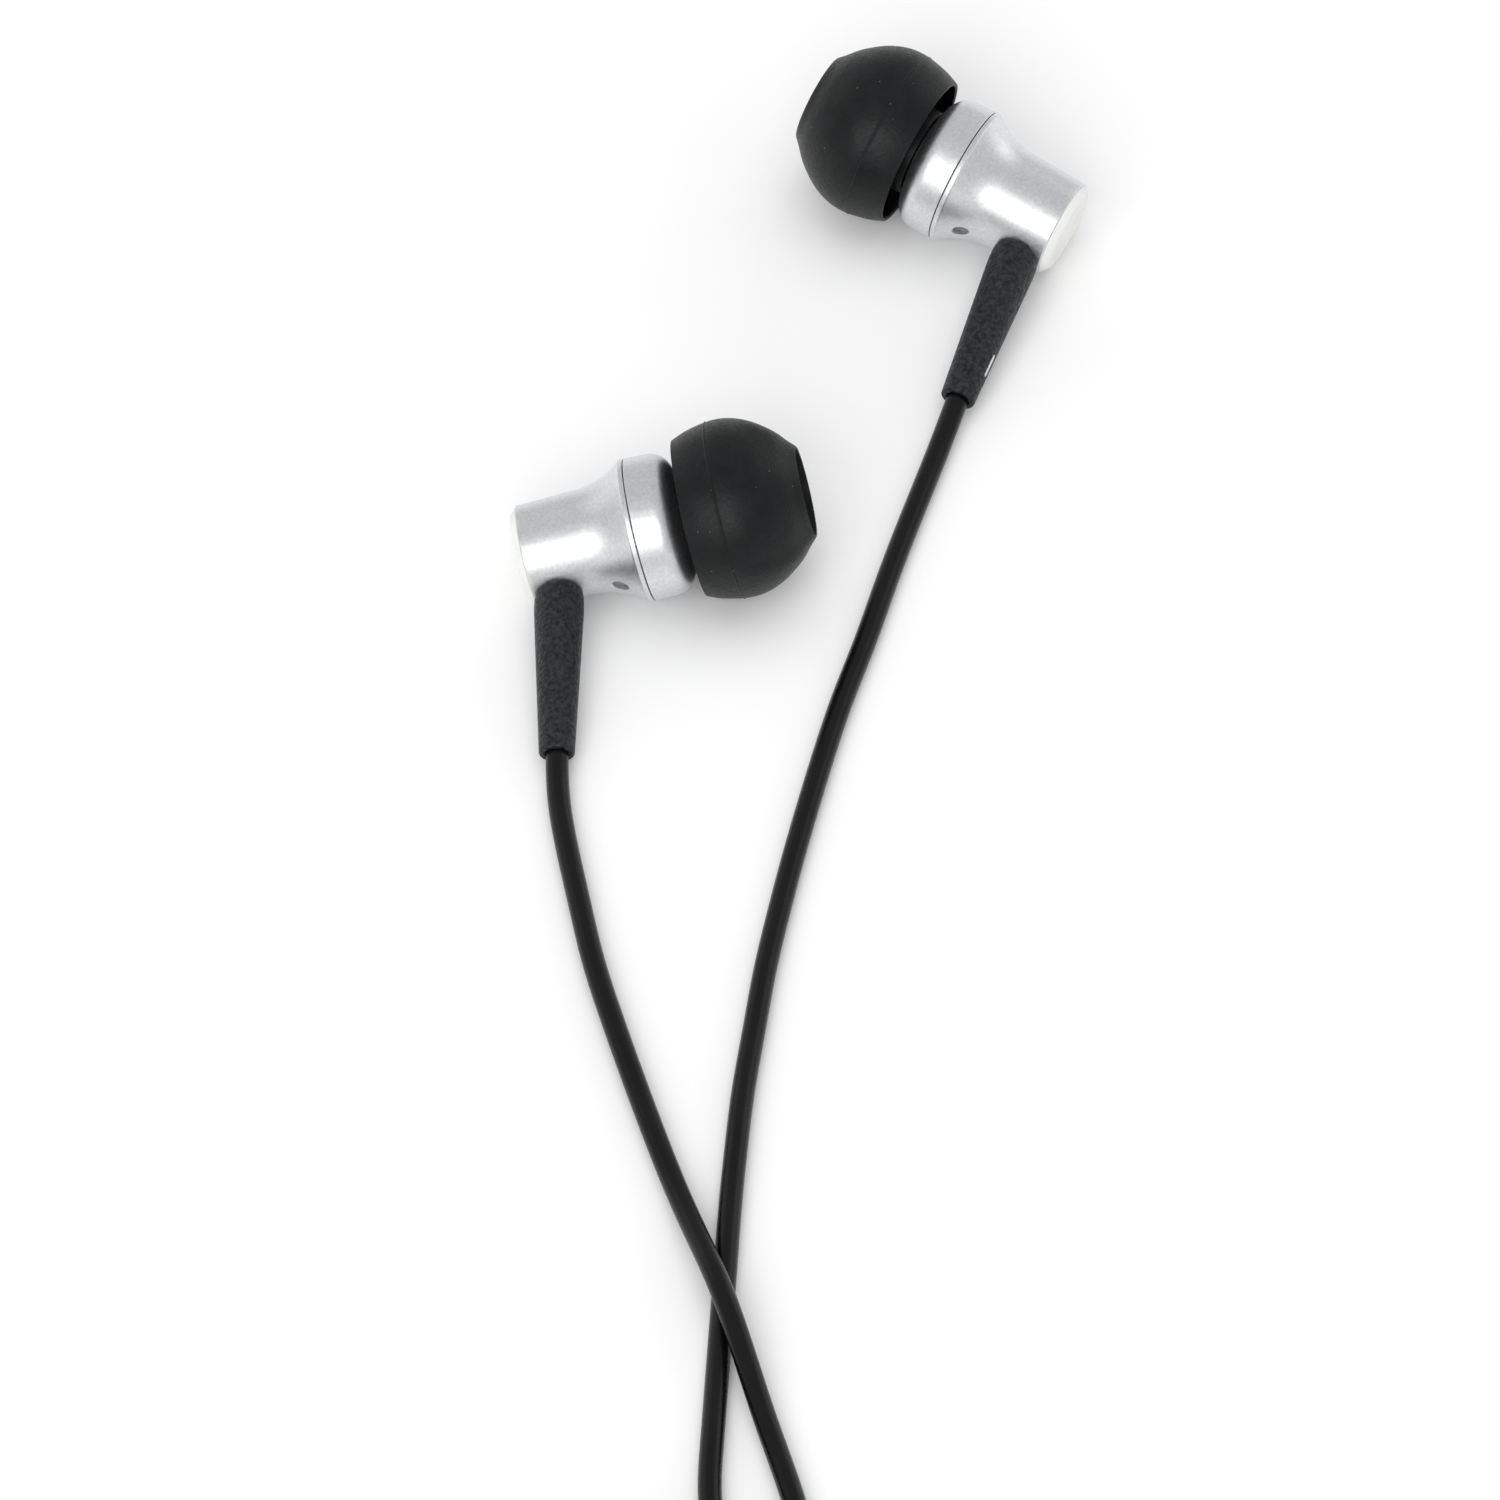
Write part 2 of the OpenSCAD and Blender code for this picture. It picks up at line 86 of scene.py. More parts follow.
def addNode(tree, kind, settings=None, links=None):
    # settings are the node's own values or its unlinked inputs, links go from an input to (node, output)
    node = tree.nodes.new(kind)
    for name, value in (settings or {}).items():
        if isinstance(name, int) or name in node.inputs:
            node.inputs[name].default_value = value
        else:
            setattr(node, name, value)
    for name, (source, output) in (links or {}).items():
        tree.links.new(source.outputs[output], node.inputs[name])
    return node


def newMaterial(name, sockets):
    # an empty material with its shader: sockets are the values that are the same all over
    material = bpy.data.materials.new(name)
    material.use_nodes = True
    tree = material.node_tree
    tree.nodes.clear()
    shader = addNode(tree, "ShaderNodeBsdfPrincipled", sockets)
    addNode(tree, "ShaderNodeOutputMaterial", {}, {"Surface": (shader, "BSDF")})
    place = addNode(tree, "ShaderNodeTexCoord")
    return material, tree, shader, place


def grainOf(tree, place, size, depth, detail=2.0, under=None):
    # fine bumps, size and depth in metres, over other bumps if there are any
    noise = addNode(tree, "ShaderNodeTexNoise", {"Scale": 1 / size, "Detail": detail, "Roughness": 0.6},
                    {"Vector": (place, "Object")})
    links = {"Height": (noise, "Fac")}
    if under:
        links["Normal"] = (under, "Normal")
    return addNode(tree, "ShaderNodeBump", {"Strength": 1.0, "Distance": depth}, links), noise


def mottled(tree, place, size, first, second):
    # slow change between two near colours
    noise = addNode(tree, "ShaderNodeTexNoise", {"Scale": 1 / size, "Detail": 3.0, "Roughness": 0.55},
                    {"Vector": (place, "Object")})
    share = addNode(tree, "ShaderNodeMapRange", {"From Min": 0.35, "From Max": 0.65},
                    {"Value": (noise, "Fac")})
    mix = addNode(tree, "ShaderNodeMix", {"data_type": "RGBA", 6: linear(first), 7: linear(second)},
                  {0: (share, "Result")})
    return mix, noise


def dusted(tree, place, colour, dust):
    # dust that clings to a soft surface: small pale dots in a few of the pattern's cells
    cells = addNode(tree, "ShaderNodeTexVoronoi", {"Scale": 1 / dust["spacing"], "Randomness": 1.0},
                    {"Vector": (place, "Object")})
    inside = addNode(tree, "ShaderNodeMath", {"operation": "LESS_THAN", 1: dust["size"] / dust["spacing"]},
                     {0: (cells, "Distance")})
    chosen = addNode(tree, "ShaderNodeSeparateColor", {}, {"Color": (cells, "Color")})
    some = addNode(tree, "ShaderNodeMath", {"operation": "GREATER_THAN", 1: 1 - dust["share"]},
                   {0: (chosen, "Red")})
    share = addNode(tree, "ShaderNodeMath", {"operation": "MULTIPLY"},
                    {0: (inside, "Value"), 1: (some, "Value")})
    faint = addNode(tree, "ShaderNodeMath", {"operation": "MULTIPLY", 1: dust["strength"]},
                    {0: (share, "Value")})
    return addNode(tree, "ShaderNodeMix", {"data_type": "RGBA", 7: linear(dust["colour"])},
                   {0: (faint, "Value"), 6: (colour, 2)})


def joinFinish(tree, shader, colour, bump, pattern, gloss):
    # joins colour and bumps to the shader, and lets a pattern move the roughness between two values
    rough = addNode(tree, "ShaderNodeMapRange",
                    {"From Min": 0.3, "From Max": 0.7, "To Min": gloss[0], "To Max": gloss[1]},
                    {"Value": (pattern, "Fac")})
    tree.links.new(colour, shader.inputs["Base Color"])
    tree.links.new(bump.outputs["Normal"], shader.inputs["Normal"])
    tree.links.new(rough.outputs["Result"], shader.inputs["Roughness"])


def moulded(name, finish):
    # any moulded or blasted solid: base colour that drifts a little, grain, and gloss that varies with it
    sockets = {"Metallic": finish.get("metallic", 0.0), **finish.get("sockets", {})}
    if "ior" in finish:
        sockets["IOR"] = finish["ior"]
    material, tree, shader, place = newMaterial(name, sockets)
    colour, _ = mottled(tree, place, finish["driftSize"], finish["first"], finish["second"])
    bump, grain = grainOf(tree, place, finish["grain"], finish["depth"], finish.get("detail", 2.0))
    if "wave" in finish:  # slow unevenness of the whole surface, over the fine grain
        bump, _ = grainOf(tree, place, finish["wave"], finish["waveDepth"], 1.0, bump)
    if "dust" in finish:
        colour = dusted(tree, place, colour, finish["dust"])
    joinFinish(tree, shader, colour.outputs[2], bump, grain, finish["gloss"])
    return material


# PVC jacket, extruded: smooth and glossy, with a slow waviness that breaks the highlight a little
leadJacket = moulded("extruded PVC", {
    "first": "#070708", "second": "#0C0C0D", "driftSize": 0.004, "ior": 1.53,
    "grain": 0.0003, "depth": 0.000004, "gloss": (0.24, 0.34), "wave": 0.0035, "waveDepth": 0.00002,
    "sockets": {"Specular IOR Level": 0.2},
})

# Silicone, moulded against a fine matt tool: dark, with a soft broad sheen and a little dust.
# The tool's pits hold back part of its reflection.
silicone = moulded("moulded silicone", {
    "first": "#07080A", "second": "#0E1012", "driftSize": 0.0012, "ior": 1.41,
    "grain": 0.00026, "depth": 0.00003, "detail": 3.0, "gloss": (0.36, 0.52),
    "sockets": {"Specular IOR Level": 0.36},
    "dust": {"spacing": 0.0008, "size": 0.00006, "share": 0.28, "strength": 0.3, "colour": "#7D8287"},
})

# Thermoplastic rubber of the strain reliefs: a coarser spark-eroded grain that sparkles in the light
boot = moulded("thermoplastic rubber", {
    "first": "#040505", "second": "#2A2D2F", "driftSize": 0.0003, "ior": 1.5,
    "grain": 0.00032, "depth": 0.00015, "detail": 2.0, "gloss": (0.34, 0.62),
    "sockets": {"Specular IOR Level": 0.3},
})

# Aluminium, blasted with fine bead and clear anodised: satin, with a grain of about 0.03 mm.
# That is too fine to show, so it is drawn as coarse as 0.2 mm.
aluminium = moulded("bead-blasted aluminium", {
    "first": "#D8D9DB", "second": "#E6E7E8", "driftSize": 0.00022, "metallic": 1.0,
    "grain": 0.0002, "depth": 0.000006, "detail": 2.0, "gloss": (0.35, 0.46),
    "wave": 0.0016, "waveDepth": 0.000003,
})

# ABS end cap: off-white, satin, with light that goes a little way in
capPlastic = moulded("moulded ABS", {
    "first": "#E6E6E3", "second": "#EEEEEB", "driftSize": 0.002, "ior": 1.53,
    "grain": 0.00018, "depth": 0.0000025, "gloss": (0.38, 0.5),
    "sockets": {"Subsurface Weight": 0.15, "Subsurface Radius": (0.0006, 0.0005, 0.0004),
                "Subsurface Scale": 1.0},
})

# Printing ink of the side mark: flat white, a little patchy over the grain below it
markInk = moulded("pad-printed ink", {
    "first": "#C9CACB", "second": "#DEDFDF", "driftSize": 0.0003, "ior": 1.5,
    "grain": 0.0001, "depth": 0.000004, "gloss": (0.5, 0.65),
})

# Splitter and plug grip: PVC overmould with a fine satin texture
overmould = moulded("satin overmould", {
    "first": "#141517", "second": "#1B1C1E", "driftSize": 0.002, "ior": 1.52,
    "grain": 0.00012, "depth": 0.00001, "detail": 3.0, "gloss": (0.4, 0.52),
})

# Silicone band round a coil: soft and matt
bandRubber = moulded("silicone band", {
    "first": "#1B1C1E", "second": "#232527", "driftSize": 0.0015, "ior": 1.41,
    "grain": 0.0002, "depth": 0.000012, "detail": 3.0, "gloss": (0.5, 0.62),
})

# Nylon rings between the contacts: black and smooth
nylonRing = moulded("glossy nylon", {
    "first": "#0E0E0F", "second": "#131314", "driftSize": 0.001, "ior": 1.53,
    "grain": 0.0002, "depth": 0.000001, "gloss": (0.2, 0.3),
})

# Glass-filled nylon of the driver's frame: dark and slightly fibrous
filledNylon = moulded("glass-filled nylon", {
    "first": "#242427", "second": "#303034", "driftSize": 0.0008, "ior": 1.53,
    "grain": 0.00015, "depth": 0.000012, "detail": 4.0, "gloss": (0.4, 0.6),
})

# Magnet: sintered, plated with bright nickel
nickelPlate = moulded("nickel plate", {
    "first": "#B4B2AC", "second": "#BFBDB8", "driftSize": 0.001, "metallic": 1.0,
    "grain": 0.00012, "depth": 0.0000015, "gloss": (0.16, 0.26),
})

# Yoke, top plate and cover: pressed steel plated with zinc, which has a faint spangle
zincPlate = moulded("zinc plate", {
    "first": "#9C9EA1", "second": "#AEB0B2", "driftSize": 0.0005, "metallic": 1.0,
    "grain": 0.0001, "depth": 0.000002, "gloss": (0.28, 0.42),
})

# Felt ring: pale wool fibres pressed flat
felt = moulded("pressed felt", {
    "first": "#CFC8B8", "second": "#E0DACD", "driftSize": 0.0004, "ior": 1.5,
    "grain": 0.00008, "depth": 0.00003, "detail": 5.0, "gloss": (0.8, 0.95),
    "sockets": {"Sheen Weight": 0.3, "Sheen Roughness": 0.4},
})

# Woven screen: stainless wire, drawn and slightly burnished at the crossings
steelWire = moulded("stainless wire", {
    "first": "#A8AAAD", "second": "#BDBFC2", "driftSize": 0.0004, "metallic": 1.0,
    "grain": 0.00006, "depth": 0.0000008, "gloss": (0.25, 0.38),
})

# Enamelled strands: red lacquer over copper
wireEnamel = moulded("wire enamel", {
    "first": "#9E3A26", "second": "#B5452F", "driftSize": 0.0006, "ior": 1.55,
    "grain": 0.00008, "depth": 0.000001, "gloss": (0.18, 0.3),
})


def goldPlate():
    # Gold flash over nickel, turned: bright, with faint rings round the contact from the lathe
    material, tree, shader, place = newMaterial("gold plate", {"Metallic": 1.0})
    colour, drift = mottled(tree, place, 0.0015, "#C79F48", "#D2AC58")
    rings = addNode(tree, "ShaderNodeTexWave",
                    {"wave_type": "BANDS", "bands_direction": "Y", "Scale": 1 / 0.0012, "Distortion": 0.3,
                     "Detail": 2.0}, {"Vector": (place, "Object")})
    bump = addNode(tree, "ShaderNodeBump", {"Strength": 0.5, "Distance": 0.0000008},
                   {"Height": (rings, "Fac")})
    joinFinish(tree, shader, colour.outputs[2], bump, drift, (0.14, 0.22))
    return material


def copperWinding():
    # Voice coil: one layer of 0.05 mm enamelled wire, wound tight, drawn as turns of 0.1 mm
    material, tree, shader, place = newMaterial("enamelled copper", {"Metallic": 1.0, "Coat Weight": 0.6,
                                                                    "Coat Roughness": 0.2})
    colour, drift = mottled(tree, place, 0.0006, "#A9602F", "#BC7440")
    turns = addNode(tree, "ShaderNodeTexWave", {"bands_direction": "DIAGONAL", "Scale": 1 / 0.0006,
                                                "Distortion": 0.1}, {"Vector": (place, "Object")})
    bump = addNode(tree, "ShaderNodeBump", {"Strength": 0.8, "Distance": 0.00001}, {"Height": (turns, "Fac")})
    joinFinish(tree, shader, colour.outputs[2], bump, drift, (0.25, 0.35))
    return material


def coneFilm():
    # Polyester film of the diaphragm: clear, bluish, with the press marks of its dome
    material, tree, shader, place = newMaterial("polyester film", {"IOR": 1.57, "Transmission Weight": 0.45,
                                                                  "Coat Weight": 0.3})
    colour, _ = mottled(tree, place, 0.001, "#A9C0C9", "#BDD0D6")
    bump, grain = grainOf(tree, place, 0.0004, 0.000004)
    joinFinish(tree, shader, colour.outputs[2], bump, grain, (0.12, 0.22))
    return material


def boardLaminate():
    # Terminal board: glass cloth under green solder mask, with the weave of 0.25 mm showing through
    material, tree, shader, place = newMaterial("board laminate", {"IOR": 1.55, "Coat Weight": 0.4,
                                                                  "Coat Roughness": 0.15})
    cloth = addNode(tree, "ShaderNodeTexChecker", {"Scale": 1 / 0.00025, "Color1": linear("#23603A"),
                                                   "Color2": linear("#2F7A4C")},
                                                   {"Vector": (place, "Object")})
    bump, grain = grainOf(tree, place, 0.0002, 0.000004)
    joinFinish(tree, shader, cloth.outputs["Color"], bump, grain, (0.25, 0.4))
    return material


goldContact, copperCoil, film, board = goldPlate(), copperWinding(), coneFilm(), boardLaminate()
print("materials:", len(bpy.data.materials))


def smoothLine(points, step):
    # natural cubic spline through the points, with its own points step apart
    p = np.array(points, float)
    at = np.concatenate([[0], np.cumsum(np.linalg.norm(np.diff(p, axis=0), axis=1))])
    gaps, count = np.diff(at), len(p)
    table, right = np.eye(count), np.zeros_like(p)
    for i in range(1, count - 1):
        table[i, i - 1:i + 2] = gaps[i - 1], 2 * (gaps[i - 1] + gaps[i]), gaps[i]
        right[i] = 6 * ((p[i + 1] - p[i]) / gaps[i] - (p[i] - p[i - 1]) / gaps[i - 1])
    bend = np.linalg.solve(table, right)
    fine = np.linspace(0, at[-1], int(at[-1] / step * 6) + 2)
    k = np.clip(np.searchsorted(at, fine) - 1, 0, count - 2)
    g = gaps[k][:, None]
    a, b = (at[k + 1] - fine)[:, None] / g, (fine - at[k])[:, None] / g
    line = a * p[k] + b * p[k + 1] + ((a ** 3 - a) * bend[k] + (b ** 3 - b) * bend[k + 1]) * g * g / 6
    along = np.concatenate([[0], np.cumsum(np.linalg.norm(np.diff(line, axis=0), axis=1))])
    even = np.linspace(0, along[-1], max(2, round(along[-1] / step) + 1))
    return np.stack([np.interp(even, along, line[:, i]) for i in range(p.shape[1])], axis=1)


def newObject(name, points, faces, material, uvs=None):
    # faces come out smooth, with sharp edges only at real corners, and point outwards
    mesh = bpy.data.meshes.new(name)
    mesh.from_pydata([tuple(p) for p in points], [], faces)
    if uvs is not None:
        layer = mesh.uv_layers.new(name="round")
        layer.data.foreach_set("uv", np.array(uvs, np.float32).ravel())
    body = bmesh.new()
    body.from_mesh(mesh)
    bmesh.ops.recalc_face_normals(body, faces=body.faces)
    body.to_mesh(mesh)
    body.free()
    mesh.polygons.foreach_set("use_smooth", [True] * len(mesh.polygons))
    mesh.set_sharp_from_angle(angle=math.radians(36))
    mesh.materials.append(material)
    thing = bpy.data.objects.new(name, mesh)
    bpy.context.scene.collection.objects.link(thing)
    return thing


def ringFaces(rings, count, closed=False):
    # faces between rings of count points each, and from the last ring to the first if closed
    faces = []
    for i in range(rings if closed else rings - 1):
        j = (i + 1) % rings
        for k in range(count):
            n = (k + 1) % count
            faces.append((i * count + k, i * count + n, j * count + n, j * count + k))
    return faces


def tube(name, line, radius, sides, material):
    # round tube along a line, with flat ends; its UV runs once round and in metres along
    line = np.array(line, float)
    heading = np.gradient(line, axis=0)
    heading /= np.linalg.norm(heading, axis=1)[:, None]
    up = np.cross(heading[0], (0.3, 0.1, 1.0))
    rings = []
    along = np.concatenate([[0], np.cumsum(np.linalg.norm(np.diff(line, axis=0), axis=1))])
    turn = np.linspace(0, 2 * math.pi, sides, endpoint=False)
    for point, ahead in zip(line, heading):
        up = up - ahead * (up @ ahead)
        up /= np.linalg.norm(up)
        side = np.cross(ahead, up)
        rings.append(point + radius * (np.cos(turn)[:, None] * up + np.sin(turn)[:, None] * side))
    faces, uvs = ringFaces(len(line), sides), []
    for i in range(len(line) - 1):
        for k in range(sides):
            for u, v in ((k, i), (k + 1, i), (k + 1, i + 1), (k, i + 1)):
                uvs.append((u / sides, along[v]))
    for i, order in ((0, range(sides - 1, -1, -1)), (len(line) - 1, range(sides))):
        faces.append([i * sides + k for k in order])
        uvs += [(0.5, along[i])] * sides
    return newObject(name, np.concatenate(rings), faces, material, uvs)


def softened(corners, steps=5):
    # a profile's corners are (r, z) or (r, z, radius): an arc takes the place of a sharp corner
    out = []
    for i, corner in enumerate(corners):
        radius = corner[2] if len(corner) > 2 else 0
        p = Vector(corner[:2])
        if not radius:
            out.append(tuple(p))
            continue
        back = Vector(corners[i - 1][:2]) - p
        ahead = Vector(corners[(i + 1) % len(corners)][:2]) - p
        half = back.angle(ahead) / 2
        cut = min(radius / math.tan(half), 0.48 * back.length, 0.48 * ahead.length)
        middle = p + (back.normalized() + ahead.normalized()).normalized() * (cut / math.cos(half))
        first, last = p + back.normalized() * cut - middle, p + ahead.normalized() * cut - middle
        whole = first.angle_signed(last)
        for s in range(steps + 1):
            spoke = first.copy()
            spoke.rotate(Matrix.Rotation(-whole * s / steps, 2))
            out.append(tuple(middle + spoke))
    return out


def turnedPoints(profile, place, segments):
    # a profile turned about its Z axis: a loop of (r, z) in millimetres, or a line from the axis to the axis
    points, rings = [], []
    for r, z in profile:
        if r < 1e-6:
            rings.append([len(points)] * segments)
            points.append(place @ Vector((0, 0, z)))
            continue
        rings.append(range(len(points), len(points) + segments))
        for k in range(segments):
            a = 2 * math.pi * k / segments
            points.append(place @ Vector((r * math.cos(a), r * math.sin(a), z)))
    closed = profile[0][0] > 1e-6 or profile[-1][0] > 1e-6
    pairs = [(i, i + 1) for i in range(len(profile) - 1)] + ([(len(profile) - 1, 0)] if closed else [])
    faces, uvs, run = [], [], 0.0
    for i, j in pairs:
        size = math.dist(profile[i], profile[j])
        for k in range(segments):
            n = (k + 1) % segments
            corners = [(rings[i][k], k, run), (rings[i][n], k + 1, run), (rings[j][n], k + 1, run + size),
                       (rings[j][k], k, run + size)]
            if corners[0][0] == corners[1][0]:
                corners.pop(1)
            elif corners[2][0] == corners[3][0]:
                corners.pop(2)
            faces.append([c[0] for c in corners])
            uvs += [(c[1] / segments, c[2]) for c in corners]
        run += size
    return points, faces, uvs


def turned(name, profile, place, material, segments=144):
    points, faces, uvs = turnedPoints(profile, place, segments)
    return newObject(name, points, faces, material, uvs)


def applied(thing):
    # the modifiers' result becomes the piece's own plain mesh
    made = bpy.data.meshes.new_from_object(thing.evaluated_get(bpy.context.evaluated_depsgraph_get()))
    thing.modifiers.clear()
    thing.data = made
    return thing


def cutWith(thing, cutters):
    for cutter in cutters:
        step = thing.modifiers.new("cut", "BOOLEAN")
        step.operation, step.solver, step.object = "DIFFERENCE", "EXACT", cutter
    applied(thing)
    for cutter in cutters:
        bpy.data.objects.remove(cutter)
    thing.data.set_sharp_from_angle(angle=math.radians(36))
    return thing


def axisPlace(origin, direction, side=(0, 0, 1)):
    # place for a turned piece whose Z runs along direction from origin
    z = Vector(direction).normalized()
    x = (Vector(side) - z * z.dot(Vector(side))).normalized()
    turn = Matrix((x, z.cross(x), z)).transposed().to_4x4()
    return Matrix.Translation(origin) @ turn @ Matrix.Scale(mm, 4)


def middleOf(node):
    low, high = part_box(node)
    return (low + high) / 2


def settle(thing, body, slot, *nodes):
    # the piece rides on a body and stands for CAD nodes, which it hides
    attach(thing, body)
    if nodes:
        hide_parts(*nodes)
    return thing


# cords: routes of their middles over the table, in metres, then the coils' turns and the ends at the splitter
leads = {
    "diameter": 0.0016,
    "length": 0.4,
    "step": 0.0009,
    "sides": 24,
    "left": [
        (-0.01716, -0.0283, 0.00146), (-0.01705, -0.0319, 0.00095), (-0.0164, -0.0366, 0.0008),
        (-0.0155, -0.0413, 0.0008), (-0.0145, -0.0462, 0.0008), (-0.0132, -0.051, 0.0008),
        (-0.0118, -0.0557, 0.0008), (-0.0103, -0.0605, 0.0008), (-0.0088, -0.0651, 0.00095),
        (-0.0073, -0.0696, 0.0017), (-0.0057, -0.0744, 0.0025), (-0.0042, -0.079, 0.00175),
        (-0.0028, -0.0836, 0.00095), (-0.0014, -0.0882, 0.0008), (-0.0003, -0.0928, 0.0008),
        (0, -0.0975, 0.00085), (-0.0005, -0.1021, 0.0009), (-0.0009, -0.106, 0.00085),
    ],
    "right": [
        (0.0112, 0.003, 0.0017), (0.01, -0.0005, 0.00105), (0.0085, -0.005, 0.0008),
        (0.007, -0.0096, 0.0008), (0.0056, -0.0142, 0.0008), (0.0042, -0.019, 0.0008),
        (0.0027, -0.0237, 0.0008), (0.0014, -0.0284, 0.0008), (0.0002, -0.0332, 0.0008),
        (-0.0009, -0.0379, 0.0008), (-0.0019, -0.0426, 0.0008), (-0.0028, -0.0473, 0.0008),
        (-0.0035, -0.052, 0.0008), (-0.0042, -0.0568, 0.0008), (-0.0047, -0.0616, 0.0008),
        (-0.0051, -0.0664, 0.0008), (-0.0054, -0.0712, 0.0008), (-0.0057, -0.076, 0.0008),
        (-0.006, -0.0808, 0.0008), (-0.0063, -0.0856, 0.0008), (-0.0064, -0.0901, 0.0008),
        (-0.0055, -0.0946, 0.001), (-0.0036, -0.0988, 0.0019), (-0.0022, -0.103, 0.0032),
        (-0.0018, -0.1068, 0.0039),
    ],
    "coilMiddle": (-0.012, -0.1096),
    # turns as (radius, height) in millimetres: each lies beside the last, and a layer sits in the one below
    "leftTurns": [(11.05, 1.2), (9.4, 1.2), (7.75, 1.2), (8.6, 2.65), (10.25, 2.65)],
    "rightTurns": [(10.25, 4.25), (8.6, 4.25), (6.95, 4.25), (7.8, 5.7), (9.45, 5.7)],
    "leftEnd": [(-0.0017, -0.1126, 0.00255), (-0.0016, -0.1156, 0.0027), (-0.0011, -0.1192, 0.0024),
                (-0.0007, -0.122, 0.00205), (-0.00065, -0.1238, 0.002)],
    "rightEnd": [(-0.0026, -0.1136, 0.0056), (-0.0026, -0.1168, 0.0051), (-0.0026, -0.1198, 0.0036),
                 (-0.00255, -0.1222, 0.0022), (-0.00255, -0.1238, 0.002)],
}
mainLead = {
    "diameter": 0.002,
    "length": 0.8,
    "step": 0.0012,
    "sides": 20,
    "start": [(-0.0016, -0.1327, 0.002), (-0.0016, -0.1356, 0.0019), (-0.0014, -0.1378, 0.0015),
              (-0.00135, -0.1402, 0.00108), (-0.00131, -0.1427, 0.001)],
    "coilMiddle": (-0.014, -0.1451),
    "turns": [(12.69, 1.4), (10.64, 1.4), (8.59, 1.4), (9.615, 3.18), (11.665, 3.18), (13.715, 3.18),
              (12.69, 4.96), (10.64, 4.96), (8.59, 4.96), (9.615, 6.74), (11.665, 6.74)],
    "end": [(-0.0095, -0.1332, 0.0073), (-0.0055, -0.1328, 0.0074), (-0.0022, -0.1318, 0.0067),
            (0.0008, -0.1299, 0.0056), (0.003, -0.1271, 0.0044), (0.004, -0.1237, 0.0033),
            (0.0046, -0.1203, 0.0025), (0.0064, -0.1175, 0.0021), (0.0092, -0.1165, 0.0021),
            (0.012, -0.1176, 0.0024), (0.0134, -0.1203, 0.0028), (0.0135, -0.1222, 0.0029),
            (0.0135, -0.1244, 0.0029)],
}
coilShape = {
    "pointsPerTurn": 24,
    "shiftFrom": 248.0,   # degrees round the turn where it starts to move over to the next one
    "shiftTo": 350.0,
    "hump": 0.22,         # how far a layer rises, in mm, where it crosses the shift of the layer below
    "tieLift": 0.4,       # the tie lifts the coil's far side off the table
}


def coilPoints(middle, turns, stop=360):
    # clockwise from above from the coil's right side, the last turn as far as stop degrees
    points, layers = [], sorted({z for _, z in turns})
    count = coilShape["pointsPerTurn"]
    low, high = coilShape["shiftFrom"], coilShape["shiftTo"]
    for i, (radius, z) in enumerate(turns):
        nextRadius, nextZ = turns[min(i + 1, len(turns) - 1)]
        for k in range(count):
            angle = 360 * k / count
            if i == len(turns) - 1 and angle > stop:
                break
            share = min(max((angle - low) / (high - low), 0), 1)
            over = min(max(share * 1.6, 0), 1)             # it moves over first and climbs after
            climb = min(max(share * 1.6 - 0.6, 0), 1)
            over, climb = (s * s * (3 - 2 * s) for s in (over, climb))
            r = radius + (nextRadius - radius) * over
            rise = coilShape["hump"] * math.sin(math.pi * share) * layers.index(z)
            height = z + (nextZ - z) * climb + rise
            turn = math.radians(angle)
            height -= coilShape["tieLift"] / 2 * (1 + math.cos(turn))
            points.append((middle[0] + r * mm * math.cos(turn), middle[1] - r * mm * math.sin(turn),
                           height * mm))
    if stop == 360:
        lastRadius, lastZ = turns[-1]
        points.append((middle[0] + lastRadius * mm, middle[1], (lastZ - coilShape["tieLift"]) * mm))
    return points


leadLines = {}
for side in ("left", "right"):
    coil = coilPoints(leads["coilMiddle"], leads[side + "Turns"])
    leadLines[side] = smoothLine(leads[side] + coil + leads[side + "End"], leads["step"])
mainLine = smoothLine(mainLead["start"] + coilPoints(mainLead["coilMiddle"], mainLead["turns"], 270)
                      + mainLead["end"], mainLead["step"])

cords = {}
for side in ("left", "right"):
    cords[side] = tube(side + "Lead", leadLines[side], leads["diameter"] / 2, leads["sides"], leadJacket)
    nodes = [side + "_lead", side + "_lead_end"] + (["lead_coil"] if side == "left" else [])
    settle(cords[side], "earphones", "lead_pvc", *nodes)
cords["main"] = tube("mainLead", mainLine, mainLead["diameter"] / 2, mainLead["sides"], leadJacket)
settle(cords["main"], "earphones", "lead_pvc", "main_lead", "main_coil", "main_lead_end")
print("cords: %d, %d and %d points" % (len(leadLines["left"]), len(leadLines["right"]), len(mainLine)))


